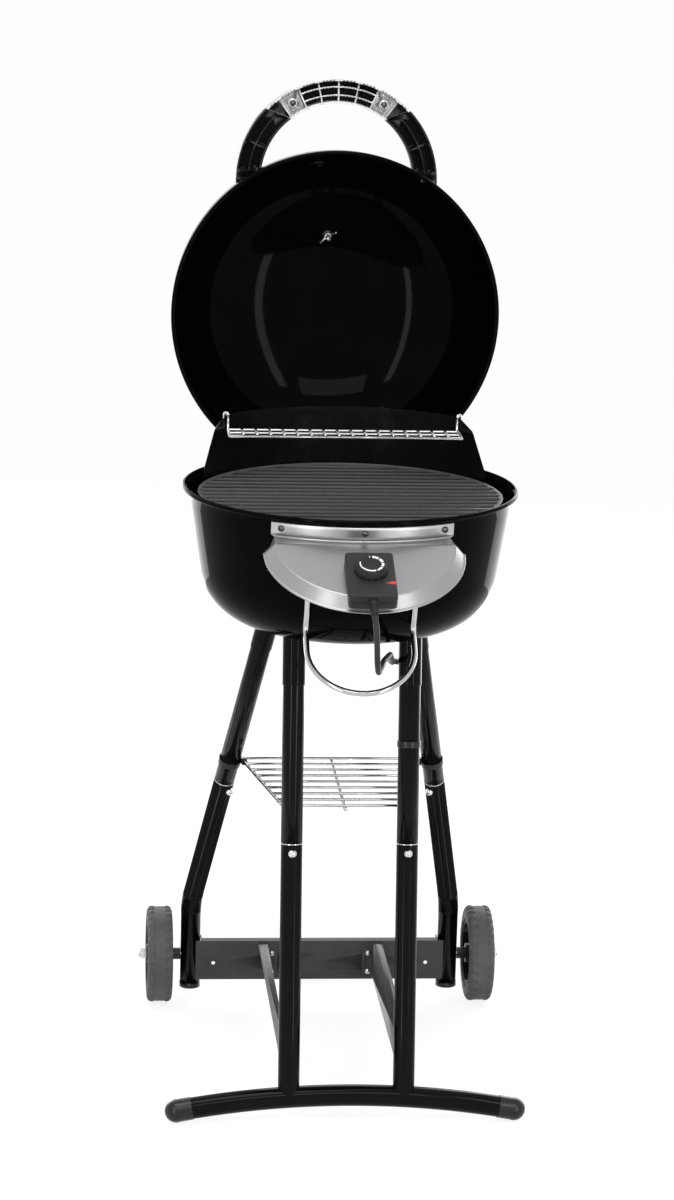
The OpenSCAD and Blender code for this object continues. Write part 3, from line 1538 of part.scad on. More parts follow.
// Points round one rounded corner of a route, a ring at each
function corner_points(a, b, c) = let (
    u = unit(b - a), v = unit(c - b), phi = acos(u * v),
    t = cord_bend * tan(phi / 2), centre = b + unit(v - u) * cord_bend / cos(phi / 2),
    e1 = unit(b - u * t - centre), e2 = cross(unit(cross(u, v)), e1),
    n = max(1, ceil(phi * PI / 180 * cord_bend / (cord_ring * 0.6))))
  [for (i = [0:n]) centre + cord_bend * (cos(phi * i / n) * e1 + sin(phi * i / n) * e2)];
// All points of a route, with its corners rounded and its straights divided
function smooth_route(p) = let (
    last = len(p) - 1,
    knots = concat([p[0]], [for (i = [1:1:last - 1]) each corner_points(p[i - 1], p[i], p[i + 1])],
      [p[last]]))
  concat([for (i = [0:len(knots) - 2]) let (n = ceil(norm(knots[i + 1] - knots[i]) / cord_ring))
    for (k = [0:n - 1]) knots[i] + (knots[i + 1] - knots[i]) * k / n], [p[last]]);
function along_at(p, i) = i == 0 ? unit(p[1] - p[0])
  : i == len(p) - 1 ? unit(p[i] - p[i - 1])
  : unit(unit(p[i + 1] - p[i]) + unit(p[i] - p[i - 1]));

// Round tube swept along a route as one closed surface
module swept(route, d) {
  p = smooth_route(route);
  n = cord_sides;
  points = [for (i = [0:len(p) - 1]) let (
      w = along_at(p, i), e1 = unit(cross(w, [1, 0.3, 0])), e2 = cross(w, e1))
    for (k = [0:n - 1]) p[i] + d / 2 * (cos(360 * k / n) * e1 + sin(360 * k / n) * e2)];
  top = (len(p) - 1) * n;
  faces = concat(
    [[for (k = [n - 1:-1:0]) k]],
    [[for (k = [0:n - 1]) top + k]],
    [for (i = [0:len(p) - 2], k = [0:n - 1])
      [i * n + k, i * n + (k + 1) % n, i * n + n + (k + 1) % n, i * n + n + k]]);
  polyhedron(points, [for (f = faces) reversed(f)]);
}

module power_cord() {
  color("#0a0a0a") {
    swept(cord_route, cord_d);
    swept([tail_start, tail_start + tail_l / 2 * tail_way - [0, 0, (coil_high - plug_r) / 2],
      plug_start - 0.6 * tail_way], cord_d);
  }
}

// Outer shape of the coiled stretch
module cord_coil() {
  color("#0a0a0a") translate([coil_centre[0], coil_centre[1], coil_low - cord_d / 2 - 0.1])
    rotate_extrude() translate([coil_r - cord_d / 2 - 0.1, 0])
      square([cord_d + 0.2, coil_high - coil_low + cord_d + 0.2]);
}

// Strap that holds the coil together
module cord_tie() {
  h = coil_high + cord_d / 2 + 0.2;
  w = cord_d + 1;
  color("#303030") translate([coil_centre[0], coil_centre[1], 0]) rotate([0, 0, 235])
    translate([coil_r - w / 2 - 1, -4, 0]) difference() {
      cube([w + 2, 8, h + 1]);
      translate([1, -1, 1.3]) cube([w, 10, h - 1.3]);
    }
}

// Clip on a front leg with a ring for the cord
module cord_clip() {
  leg_at = at_height(front_low, front_high, clip_z);
  lower = cord_route[9] + [0, origin_back, 0];
  upper = cord_route[8] + [0, origin_back, 0];
  way = unit(upper - lower);
  cord_at = at_height(lower, upper, clip_z);
  mid = [cord_at[0], cord_at[1], clip_z];
  in_frame() color("#151515") difference() {
    union() {
      rod(leg_at - 5 * front_way, leg_at + 5 * front_way, leg_d + 5);
      rod(mid - 5 * way, mid + 5 * way, cord_d + 5);
      rod(leg_at, mid, 7);
    }
    rod(leg_at - 20 * front_way, leg_at + 20 * front_way, leg_d + 2 * seat_gap);
    rod(mid - 20 * way, mid + 20 * way, cord_d + 2 * run_gap);
  }
}

// Round plug with two pins and a tapered tail
module mains_plug() {
  tail = 24;
  body = 40;
  color("#101010") facing(plug_start, tail_way) {
    rotate_extrude() polygon([
      [0, 0], [4.6, 0], [6.5, tail - 4], [8, tail], [plug_r - 4, tail + 2], [plug_r, tail + 8],
      [plug_r, tail + body - 1.5], [plug_r - 1.5, tail + body], [0, tail + body]]);
    for (x = [-9.5, 9.5]) {
      translate([0, x, tail + body - 1]) cylinder(d = 4.8, h = 20);
    }
  }
}

bowl();
wind_guard();
warming_rack();
grill_plate();
plate_brackets();
element_bars();
heating_element();
reflector();
terminal_block();
lead_cover();
front_tray();
tray_screws();
controller_base();
controller_cover();
control_dial();
dial_shaft();
indicator_lens();
cord_gland();
power_cord();
cord_coil();
cord_tie();
cord_clip();
mains_plug();
front_rail();
lid_shell();
handle_grip();
handle_arm_left();
handle_arm_right();
lid_screws();
thermometer_case();
thermometer_dial();
thermometer_needle();
thermometer_lens();
thermometer_stem();
wing_nut();
hinge_leaf();
hinge_bracket();
hinge_pin();
bowl_screws();
front_legs_upper();
front_legs_lower();
rear_legs_upper();
rear_legs_lower();
leg_sockets();
stand_screws();
shelf();
shelf_clips();
rear_crossbar();
braces();
axle();
axle_bushes();
axle_nuts();
tyre_left();
tyre_right();
hub_left();
hub_right();
front_foot();
end_caps();
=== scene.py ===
"""Looks of an electric kettle grill on a wheeled stand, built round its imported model."""

import json
import logging
import math
from dataclasses import dataclass
from enum import Enum
from typing import Any, Optional, Sequence, Union

import bmesh
import bpy
import numpy as np
from mathutils import Matrix, Vector

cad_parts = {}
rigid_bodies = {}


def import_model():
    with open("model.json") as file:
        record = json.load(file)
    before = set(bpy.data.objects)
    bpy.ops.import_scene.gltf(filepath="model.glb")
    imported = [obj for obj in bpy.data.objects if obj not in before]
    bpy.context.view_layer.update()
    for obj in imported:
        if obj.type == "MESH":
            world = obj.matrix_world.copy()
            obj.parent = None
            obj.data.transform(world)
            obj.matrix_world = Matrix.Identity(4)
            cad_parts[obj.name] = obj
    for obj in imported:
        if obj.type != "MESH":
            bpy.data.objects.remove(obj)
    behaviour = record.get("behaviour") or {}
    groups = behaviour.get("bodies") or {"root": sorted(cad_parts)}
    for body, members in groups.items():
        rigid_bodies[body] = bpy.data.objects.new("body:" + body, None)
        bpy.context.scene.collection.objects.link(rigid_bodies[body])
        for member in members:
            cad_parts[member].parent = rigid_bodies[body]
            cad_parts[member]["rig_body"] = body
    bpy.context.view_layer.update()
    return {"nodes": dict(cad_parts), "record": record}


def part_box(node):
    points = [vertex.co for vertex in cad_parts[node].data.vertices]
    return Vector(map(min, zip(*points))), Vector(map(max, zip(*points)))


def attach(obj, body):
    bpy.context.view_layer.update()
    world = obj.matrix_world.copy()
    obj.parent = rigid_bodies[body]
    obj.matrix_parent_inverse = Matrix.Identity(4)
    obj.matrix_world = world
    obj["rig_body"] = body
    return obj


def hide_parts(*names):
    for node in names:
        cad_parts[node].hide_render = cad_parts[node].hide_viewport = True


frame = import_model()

log = logging.getLogger("kettle_grill")
MM = 0.001
TAU = 2 * math.pi
Colour = tuple[float, float, float]


# ------------------------------------------------------------------ shader maths


class Shade:
    """One output socket of a material, on which maths is written as Python operators."""

    def __init__(self, recipe: "Recipe", socket: bpy.types.NodeSocket) -> None:
        """Keeps the recipe that the socket belongs to, and the socket."""
        self.recipe = recipe
        self.socket = socket

    def _math(self, operation: str, first: Any, second: Any = None) -> "Shade":
        """Adds one Math node for an operation on values or sockets."""
        values = {0: first} if second is None else {0: first, 1: second}
        return self.recipe.node("ShaderNodeMath", {"operation": operation}, values)

    def __add__(self, other: "Value") -> "Shade":
        """Sum."""
        return self._math("ADD", self, other)

    def __radd__(self, other: "Value") -> "Shade":
        """Sum with the number first."""
        return self._math("ADD", other, self)

    def __sub__(self, other: "Value") -> "Shade":
        """Difference."""
        return self._math("SUBTRACT", self, other)

    def __rsub__(self, other: "Value") -> "Shade":
        """Difference with the number first."""
        return self._math("SUBTRACT", other, self)

    def __mul__(self, other: "Value") -> "Shade":
        """Product."""
        return self._math("MULTIPLY", self, other)

    def __rmul__(self, other: "Value") -> "Shade":
        """Product with the number first."""
        return self._math("MULTIPLY", other, self)

    def __truediv__(self, other: "Value") -> "Shade":
        """Quotient."""
        return self._math("DIVIDE", self, other)

    def __pow__(self, other: "Value") -> "Shade":
        """Power."""
        return self._math("POWER", self, other)

    def between(self, low: float, high: float) -> "Shade":
        """Rises smoothly from 0 at low to 1 at high.

        Args:
            low: Value that gives 0.
            high: Value that gives 1.

        Returns:
            The smooth step as a socket.
        """
        return self.recipe.node(
            "ShaderNodeMapRange",
            {"interpolation_type": "SMOOTHSTEP"},
            {"Value": self, "From Min": low, "From Max": high},
        )


Value = Union[Shade, float]


class Recipe:
    """Builds the nodes of one material or world."""

    def __init__(self, owner: Union[bpy.types.Material, bpy.types.World]) -> None:
        """Empties the node tree of what it is to fill.

        Args:
            owner: Material or world that the nodes are for.
        """
        self.owner = owner
        owner.use_nodes = True
        self.tree = owner.node_tree
        self.tree.nodes.clear()

    @property
    def place(self) -> Shade:
        """The piece's own coordinates, in metres."""
        return self.node("ShaderNodeTexCoord", output="Object")

    def node(
        self,
        kind: str,
        settings: Optional[dict[str, Any]] = None,
        inputs: Optional[dict[Union[str, int], Any]] = None,
        output: Union[str, int] = 0,
    ) -> Shade:
        """Adds one node: its settings first, then the values or links of its sockets.

        Args:
            kind: The node's type.
            settings: Properties of the node; "stops" sets a ramp's positions and colours.
            inputs: Values or Shade links by socket name or number.
            output: Output socket to hand back.

        Returns:
            The chosen output.
        """
        made = self.tree.nodes.new(kind)
        for key, value in (settings or {}).items():
            if key == "stops":
                self._stops(made.color_ramp, value)
            else:
                setattr(made, key, value)
        for key, value in (inputs or {}).items():
            if isinstance(value, Shade):
                self.tree.links.new(value.socket, made.inputs[key])
            else:
                made.inputs[key].default_value = value
        return Shade(self, made.outputs[output] if len(made.outputs) else made.inputs[0])

    @staticmethod
    def _stops(ramp: bpy.types.ColorRamp, stops: Sequence[tuple[float, Colour]]) -> None:
        """Writes a ramp's stops as pairs of a position and a colour."""
        while len(ramp.elements) < len(stops):
            ramp.elements.new(1.0)
        for element, (position, colour) in zip(ramp.elements, stops):
            element.position = position
            element.color = (*colour, 1.0)

    def noise(self, scale: float, detail: float = 2.0, stretch: Optional[Colour] = None) -> Shade:
        """Noise on the piece's own coordinates.

        Args:
            scale: Features per metre.
            detail: Octaves of the noise.
            stretch: Scale of each axis, to draw the noise out.

        Returns:
            The noise as a value from 0 to 1.
        """
        where = self.place
        if stretch is not None:
            where = self.node("ShaderNodeMapping", None, {"Vector": where, "Scale": stretch})
        return self.node(
            "ShaderNodeTexNoise", None, {"Vector": where, "Scale": scale, "Detail": detail}
        )

    def cells(self, scale: float, feature: str = "F1") -> Shade:
        """Distance to the nearest of a scatter of points, for grain and flakes."""
        return self.node(
            "ShaderNodeTexVoronoi", {"feature": feature}, {"Vector": self.place, "Scale": scale}
        )

    def blend(self, factor: Value, first: Any, second: Any) -> Shade:
        """Mixes two colours.

        Args:
            factor: 0 gives the first and 1 the second.
            first: Colour or link.
            second: Colour or link.

        Returns:
            The mixed colour.
        """
        ends = [v if isinstance(v, Shade) else (*v, 1.0) for v in (first, second)]
        return self.node(
            "ShaderNodeMix", {"data_type": "RGBA"}, {0: factor, 6: ends[0], 7: ends[1]}, output=2
        )

    def bump(self, height: Shade, distance: float, below: Optional[Shade] = None) -> Shade:
        """Turns a height into a normal.

        Args:
            height: Height from 0 to 1.
            distance: Metres that a height of 1 stands for.
            below: A bump that this one lies on.

        Returns:
            The normal.
        """
        links: dict[Union[str, int], Any] = {"Height": height, "Distance": distance}
        if below is not None:
            links["Normal"] = below
        return self.node("ShaderNodeBump", None, links)

    def finish(self, **sockets: Any) -> bpy.types.Material:
        """Closes the material with a Principled shader.

        Args:
            **sockets: Values or links, with underscores for the spaces of socket names.

        Returns:
            The finished material.
        """
        values = {key.replace("_", " "): value for key, value in sockets.items()}
        shader = self.node("ShaderNodeBsdfPrincipled", None, values)
        self.node("ShaderNodeOutputMaterial", None, {"Surface": shader})
        return self.owner


# ------------------------------------------------------------------ finishes


@dataclass(frozen=True)
class Finish:
    """A surface whose colour is a little cloudy and whose gloss is a little smudged."""

    name: str
    colour: Colour
    roughness: float = 0.4
    metallic: float = 0.0
    coat: float = 0.0
    index: float = 1.45
    level: float = 0.5
    cloud: float = 0.12
    smudge: float = 0.08
    grain: float = 1200.0
    relief: float = 0.00003

    def tint(self, recipe: Recipe) -> Shade:
        """Colour that drifts between darker and lighter over a few centimetres."""
        darker = tuple(c * (1 - self.cloud) for c in self.colour)
        lighter = tuple(min(1.0, c * (1 + self.cloud)) for c in self.colour)
        return recipe.blend(recipe.noise(18, 3).between(0.35, 0.65), darker, lighter)

    def gloss(self, recipe: Recipe) -> Shade:
        """Roughness raised in faint smudges."""
        return recipe.noise(45, 4).between(0.45, 0.7) * self.smudge + self.roughness

    def skin(self, recipe: Recipe) -> Shade:
        """Fine relief of the surface."""
        return recipe.bump(recipe.noise(self.grain, 2), self.relief)

    def shine(self, recipe: Recipe) -> Value:
        """How metallic the surface is."""
        return self.metallic

    def extras(self) -> dict[str, Any]:
        """Sockets that only some finishes set, each the same all over the surface."""
        return {}

    def make(self) -> bpy.types.Material:
        """Builds the material.

        Returns:
            The node material.
        """
        recipe = Recipe(bpy.data.materials.new(f"{self.name}_finish"))
        return recipe.finish(
            Base_Color=self.tint(recipe),
            Roughness=self.gloss(recipe),
            Metallic=self.shine(recipe),
            Coat_Weight=self.coat,
            IOR=self.index,
            Specular_IOR_Level=self.level,
            Normal=self.skin(recipe),
            **self.extras(),
        )


@dataclass(frozen=True)
class Enamel(Finish):
    """Fired enamel: deep gloss with a slight orange peel and a few pits."""

    peel: float = 160.0

    def skin(self, recipe: Recipe) -> Shade:
        """Shallow waves of the enamel, with fine pits in them."""
        waves = recipe.bump(recipe.noise(self.peel, 1), 0.00001)
        pits = recipe.cells(420).between(0.0, 0.12)
        return recipe.bump(pits, 0.00001, waves)


@dataclass(frozen=True)
class Brushed(Finish):
    """Metal with fine lines drawn along one axis."""

    along: Colour = (0.04, 1.0, 1.0)

    def gloss(self, recipe: Recipe) -> Shade:
        """Roughness that changes from line to line."""
        return recipe.noise(900, 3, self.along) * 0.16 + (self.roughness - 0.08)

    def skin(self, recipe: Recipe) -> Shade:
        """Relief of the drawn lines."""
        return recipe.bump(recipe.noise(1500, 2, self.along), self.relief)


@dataclass(frozen=True)
class Plated(Finish):
    """Bright plating with faint waves from the metal below."""

    def skin(self, recipe: Recipe) -> Shade:
        """Long low waves under a fine haze."""
        waves = recipe.bump(recipe.noise(90, 2), 0.00002)
        return recipe.bump(recipe.noise(self.grain, 2), self.relief * 0.3, waves)


@dataclass(frozen=True)
class Flaked(Finish):
    """Silver paint with small metal flakes."""

    def tint(self, recipe: Recipe) -> Shade:
        """Base colour with lighter and darker flakes."""
        flakes = recipe.cells(2600).between(0.1, 0.9)
        darker = tuple(c * 0.95 for c in self.colour)
        lighter = tuple(min(1.0, c * 1.04) for c in self.colour)
        return recipe.blend(flakes, lighter, darker)

    def skin(self, recipe: Recipe) -> Shade:
        """Flakes that stand at slight angles."""
        return recipe.bump(recipe.cells(2600), 0.000003)


@dataclass(frozen=True)
class SilverWithShadedCells(Flaked):
    """Silver paint on a moulded channel, with painted shade that makes its deep cells near-black.

    The channel's mouth is a plane that leans with the open lid. A place lies deep in a cell
    where it is behind that plane but before the channel's back, and between both side walls.
    The painted shade leaves out the two cells with the screw bosses, which lie where the sine
    of the angle from the handle's middle is between two limits.
    """

    # Near-black colour of the painted shade deep in the cells.
    inside: Colour = (0.006, 0.006, 0.0065)
    mouth: tuple[float, float, float] = (0.2494, 0.7225, 0.02968)
    centre: float = 1.1164
    walls: tuple[float, float] = (0.1027, 0.1293)
    depth: tuple[float, float] = (0.0012, 0.0185)
    bosses: tuple[float, float] = (0.425, 0.602)

    def hidden(self, recipe: Recipe) -> Shade:
        """Mask of the painted shade: 1 deep in the cells, 0 on the outer faces and in the boss cells."""
        x, y, z = (
            recipe.node("ShaderNodeSeparateXYZ", None, {0: recipe.place}, output=i) for i in range(3)
        )
        y0, z0, lean = self.mouth
        deep = y - (z - z0) * lean - y0
        rise = z - self.centre
        radius = (x * x + rise * rise) ** 0.5
        soft = 0.0006
        across = radius.between(self.walls[0] - soft, self.walls[0] + soft)
        across = across * (1 - radius.between(self.walls[1] - soft, self.walls[1] + soft))
        along = deep.between(self.depth[0], self.depth[0] + 2 * soft)
        along = along * (1 - deep.between(self.depth[1] - soft, self.depth[1]))
        turn = (x * x) ** 0.5 / radius
        boss = turn.between(self.bosses[0] - 0.004, self.bosses[0])
        boss = boss * (1 - turn.between(self.bosses[1], self.bosses[1] + 0.004))
        return across * along * (1 - boss)

    def tint(self, recipe: Recipe) -> Shade:
        """Silver with flakes, and near-black painted shade deep in the cells."""
        # Painted shade: the deep cells take the near-black colour.
        return recipe.blend(self.hidden(recipe), super().tint(recipe), self.inside)

    def shine(self, recipe: Recipe) -> Value:
        """Metallic except where the deep cells carry the painted shade."""
        return (1 - self.hidden(recipe)) * self.metallic


@dataclass(frozen=True)
class Grained(Finish):
    """Moulded plastic or rubber with a leathery grain."""

    def skin(self, recipe: Recipe) -> Shade:
        """Rounded pebbles with fine noise on them."""
        pebbles = recipe.bump(recipe.cells(self.grain).between(0.1, 0.8), self.relief)
        return recipe.bump(recipe.noise(self.grain * 3, 1), self.relief * 0.3, pebbles)


@dataclass(frozen=True)
class Coated(Finish):
    """Dark non-stick coating with pale specks, as on a cast plate, with painted highlight on its rib tops.
    """

    # Paler colour of the painted highlight on the rib tops.
    worn: Colour = (0.075, 0.074, 0.077)
    rib: float = 0.004

    def tint(self, recipe: Recipe) -> Shade:
        """Dark coating, with specks where the scattered points lie close, and painted highlight on the rib
        tops.
        """
        specks = 1.0 - recipe.cells(700).between(0.10, 0.2)
        cloudy = recipe.blend(recipe.noise(30, 4), self.colour, (0.011, 0.011, 0.012))
        z = recipe.node("ShaderNodeSeparateXYZ", None, {0: recipe.place}, output=2)
        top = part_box("grill_plate")[1][2]
        # Painted highlight: the colour pales with height towards the rib tops.
        ribs = recipe.blend(z.between(top - 0.8 * self.rib, top - 0.1 * self.rib), cloudy, self.worn)
        return recipe.blend(specks * recipe.noise(260, 1).between(0.5, 0.6), ribs, (0.3, 0.3, 0.3))


@dataclass(frozen=True)
class HeatStained(Finish):
    """Steel sheath with brown and blue stains from the heat."""

    def tint(self, recipe: Recipe) -> Shade:
        """Steel grey through straw and brown to blue."""
        straw, brown, blue = (0.2, 0.15, 0.1), (0.12, 0.08, 0.08), (0.09, 0.1, 0.14)
        ramp = [(0.3, self.colour), (0.5, straw), (0.6, brown), (0.75, blue)]
        return recipe.node("ShaderNodeValToRGB", {"stops": ramp}, {"Fac": recipe.noise(22, 3)})


@dataclass(frozen=True)
class Clear(Finish):
    """Clear glass or plastic."""

    def extras(self) -> dict[str, Any]:
        """Light passes through it."""
        return {"Transmission Weight": 0.95}


@dataclass(frozen=True)
class Lamp(Finish):
    """Translucent lens with a dim glow in its middle."""

    def extras(self) -> dict[str, Any]:
        """A steady glow."""
        return {"Emission Color": (*self.colour, 1.0), "Emission Strength": 0.2}


MADE: dict[str, bpy.types.Material] = {}


class Look(Enum):
    """The finishes of the grill, by the name of the record's slot that each one dresses."""

    bowl_enamel = Enamel("bowl_enamel", (0.0018, 0.0016, 0.0022), 0.05, index=1.3, level=0.05, smudge=0.02)
    lid_enamel = Enamel("lid_enamel", (0.0014, 0.0012, 0.0018), 0.05, index=1.3, level=0.06, smudge=0.02)
    guard_steel = Finish("guard_steel", (0.004, 0.004, 0.0045), 0.24, index=1.3, level=0.25)
    chromed_wire = Plated("chromed_wire", (0.5, 0.5, 0.51), 0.08, 1.0, cloud=0.05, smudge=0.06)
    # Grill plate: dark coating with a painted highlight on its rib tops.
    coated_aluminium = Coated(
        "coated_aluminium", (0.005, 0.005, 0.006), 0.4, index=1.4, level=0.2, grain=900
    )
    bare_steel = Brushed("bare_steel", (0.5, 0.5, 0.51), 0.34, 1.0)
    element_sheath = HeatStained("element_sheath", (0.26, 0.25, 0.24), 0.42, 0.9)
    aluminised_steel = Flaked("aluminised_steel", (0.5, 0.5, 0.51), 0.38, 1.0)
    ceramic = Finish("ceramic", (0.82, 0.8, 0.74), 0.2, coat=0.6, cloud=0.04)
    dark_steel = Plated("dark_steel", (0.12, 0.12, 0.125), 0.22, 1.0)
    screw_steel = Plated("screw_steel", (0.7, 0.7, 0.71), 0.16, 1.0)
    controller_plastic = Grained("controller_plastic", (0.013, 0.013, 0.014), 0.42, level=0.3, grain=2200)
    dial_plastic = Grained("dial_plastic", (0.006, 0.006, 0.007), 0.36, level=0.3, grain=2600)
    red_lens = Lamp("red_lens", (0.55, 0.02, 0.015), 0.2)
    soft_rubber = Grained("soft_rubber", (0.01, 0.01, 0.01), 0.58, level=0.3, grain=1800)
    cord_rubber = Grained(
        "cord_rubber", (0.012, 0.012, 0.013), 0.45, level=0.35, grain=3000, relief=0.00002
    )
    plug_rubber = Grained("plug_rubber", (0.01, 0.01, 0.011), 0.5, level=0.3, grain=2000)
    black_plastic = Grained(
        "black_plastic", (0.0065, 0.0065, 0.007), 0.24, level=0.4, grain=2400, relief=0.00002
    )
    silver_paint = Flaked("silver_paint", (0.33, 0.325, 0.335), 0.33, 0.8, smudge=0.01)
    # Handle grip: silver paint, with painted shade deep in its cells.
    silver_plastic = SilverWithShadedCells("silver_plastic", (0.6, 0.6, 0.61), 0.36, 0.55)
    dial_card = Finish("dial_card", (0.86, 0.86, 0.84), 0.4, cloud=0.02)
    red_paint = Finish("red_paint", (0.62, 0.03, 0.02), 0.3)
    clear_glass = Clear("clear_glass", (0.97, 0.98, 0.98), 0.02, cloud=0.0, smudge=0.0, relief=0.000002)
    leg_paint = Enamel("leg_paint", (0.003, 0.0028, 0.0035), 0.08, index=1.35, level=0.15, smudge=0.05)
    bar_paint = Enamel("bar_paint", (0.062, 0.056, 0.063), 0.16, index=1.35, level=0.3, smudge=0.05)
    wheel_rubber = Grained("wheel_rubber", (0.09, 0.088, 0.092), 0.55, index=1.35, level=0.3, grain=1600)
    hub_plastic = Grained("hub_plastic", (0.006, 0.006, 0.007), 0.38, index=1.35, level=0.3, grain=2000)
    white_print = Finish("white_print", (0.85, 0.85, 0.85), 0.45, cloud=0.02)

    def material(self) -> bpy.types.Material:
        """The material of this finish, made once."""
        if self.name not in MADE:
            MADE[self.name] = self.value.make()
        return MADE[self.name]


# ------------------------------------------------------------------ surfaces


def unit(v: np.ndarray) -> np.ndarray:
    """Vector of length one along v."""
    return v / np.linalg.norm(v)


def grid_faces(rows: int, columns: int, loop_rows: bool, loop_columns: bool) -> np.ndarray:
    """Quads of a grid of points, numbered row by row.

    Args:
        rows: Number of rows.
        columns: Points in each row.
        loop_rows: Whether the last row joins the first.
        loop_columns: Whether each row is closed.

    Returns:
        Four point numbers for each quad.
    """
    i = np.arange(rows if loop_rows else rows - 1)[:, None]
    j = np.arange(columns if loop_columns else columns - 1)[None, :]
    below, beside = (i + 1) % rows, (j + 1) % columns
    corners = [i * columns + j, i * columns + beside, below * columns + beside, below * columns + j]
    return np.stack([c.reshape(-1) for c in np.broadcast_arrays(*corners)], axis=1)


@dataclass
class Sheet:
    """A grid of points that is one surface, with its ends closed by flat faces if asked."""

    points: np.ndarray
    loop_rows: bool = False
    loop_columns: bool = False
    closed_ends: bool = False

    def mapped(self, place: Any) -> "Sheet":
        """The same sheet with its points put through a function."""
        return Sheet(place(self.points), self.loop_rows, self.loop_columns, self.closed_ends)

    def faces(self) -> list[list[int]]:
        """All faces as lists of point numbers."""
        rows, columns = self.points.shape[:2]
        faces = grid_faces(rows, columns, self.loop_rows, self.loop_columns).tolist()
        if self.closed_ends:
            last = (rows - 1) * columns
            faces.append(list(range(columns - 1, -1, -1)))
            faces.append(list(range(last, last + columns)))
        return faces


def revolved(profile: np.ndarray, steps: int, centre: Sequence[float] = (0, 0, 0)) -> Sheet:
    """Surface of revolution: the point (r, z) at angle t lies at (r cos t, r sin t, z).

    Args:
        profile: Radius and height of each point, from the axis to the axis.
        steps: Number of angles.
        centre: Point added to each.

    Returns:
        The closed surface.
    """
    t = np.linspace(0, TAU, steps, endpoint=False)[None, :]
    r, z = profile[:, 0:1], profile[:, 1:2]
    grid = np.stack([r * np.cos(t), r * np.sin(t), z + 0 * t], axis=-1)
    return Sheet(grid + np.asarray(centre), loop_columns=True)


def turned(profile: np.ndarray, foot: Sequence[float], way: Sequence[float], steps: int = 48) -> Sheet:
    """Surface of revolution round any axis, from a closed profile that stays clear of it.

    The point (r, h) at angle t lies h along the axis, and r cos t and r sin t out from it in
    two directions square to the axis and to each other.

    Args:
        profile: Radius and height of each point, as a closed loop.
        foot: Point of the axis where the height is 0.
        way: Direction of the axis.
        steps: Number of angles.

    Returns:
        The closed surface.
    """
    axis = unit(np.asarray(way, float))
    side = unit(np.cross(axis, (0.31, 0.17, 0.93) if abs(axis[2]) < 0.8 else (1.0, 0.2, 0.1)))
    up = np.cross(axis, side)
    t = np.linspace(0, TAU, steps, endpoint=False)[None, :, None]
    r, h = profile[:, :1, None], profile[:, 1:, None]
    grid = np.asarray(foot) + r * np.cos(t) * side + r * np.sin(t) * up + h * axis
    return Sheet(grid, loop_rows=True, loop_columns=True)


def frames_along(path: np.ndarray, lean: Sequence[float] = (0.13, 0.37, 0.92)) -> tuple[np.ndarray, ...]:
    """Two directions square to a path at each of its points.

    Args:
        path: Points of the path.
        lean: Rough direction of the second one, nowhere along the path.

    Returns:
        The two arrays of unit directions.
    """
    way = np.gradient(path, axis=0)
    way /= np.linalg.norm(way, axis=1, keepdims=True)
    side = np.cross(way, np.asarray(lean, float))
    side /= np.linalg.norm(side, axis=1, keepdims=True)
    return side, np.cross(side, way)


def carried(outline: np.ndarray, path: np.ndarray, **words: Any) -> Sheet:
    """Outline carried along a path: point (a, b) of it lies a along the side and b along the up.

    Args:
        outline: Closed outline in the plane square to the path.
        path: Points of the path.
        **words: Passed on to frames_along.

    Returns:
        The closed bar.
    """
    side, up = frames_along(path, **words)
    a, b = outline[:, 0][None, :, None], outline[:, 1][None, :, None]
    grid = path[:, None, :] + a * side[:, None, :] + b * up[:, None, :]
    return Sheet(grid, loop_columns=True, closed_ends=True)


def ring(radius: float, sides: int = 16) -> np.ndarray:
    """Points of a circle."""
    t = np.linspace(0, TAU, sides, endpoint=False)
    return radius * np.stack([np.cos(t), np.sin(t)], axis=1)


def arc(centre: Sequence[float], radius: float, start: float, end: float, steps: int) -> np.ndarray:
    """Points of an arc in a plane, between two angles in degrees."""
    t = np.radians(np.linspace(start, end, steps))
    return np.asarray(centre) + radius * np.stack([np.cos(t), np.sin(t)], axis=1)


def rounded(corners: Sequence[tuple[float, float, float]], steps: int = 5) -> np.ndarray:
    """Closed outline with rounded corners.

    Each corner (x, y, r) becomes an arc of radius r that meets both of its sides: the arc runs
    on a quadratic curve between the points r before and after the corner.

    Args:
        corners: Corners in order, each with its radius.
        steps: Points for each corner.

    Returns:
        The outline's points.
    """
    points = np.array([(x, y) for x, y, _ in corners], float)
    radii = np.array([r for _, _, r in corners], float)[:, None]
    before = np.roll(points, 1, axis=0) - points
    after = np.roll(points, -1, axis=0) - points
    a = points + before / np.linalg.norm(before, axis=1, keepdims=True) * radii
    b = points + after / np.linalg.norm(after, axis=1, keepdims=True) * radii
    t = np.linspace(0, 1, steps)[None, :, None]
    curve = (1 - t) ** 2 * a[:, None] + 2 * t * (1 - t) * points[:, None] + t**2 * b[:, None]
    return curve.reshape(-1, 2)


def beside(line: np.ndarray, distance: float) -> np.ndarray:
    """Line moved square to itself, to the right of its way by a distance.

    Args:
        line: Points (r, z) in order.
        distance: How far to move it; to the left where it is negative.

    Returns:
        The moved line, whose first or last point on the axis stays there.
    """
    way = np.gradient(line, axis=0)
    way /= np.linalg.norm(way, axis=1, keepdims=True)
    moved = line + distance * np.stack([way[:, 1], -way[:, 0]], axis=1)
    moved[line[:, 0] == 0, 0] = 0
    return moved


def bent(start: np.ndarray, knee: np.ndarray, end: np.ndarray, steps: int) -> list[np.ndarray]:
    """Rows of a quadratic curve from start, which is left out, by a knee to its end."""
    shares = np.linspace(0, 1, steps)[1:]
    return [(1 - t) ** 2 * start + 2 * t * (1 - t) * knee + t**2 * end for t in shares]


# ------------------------------------------------------------------ pieces


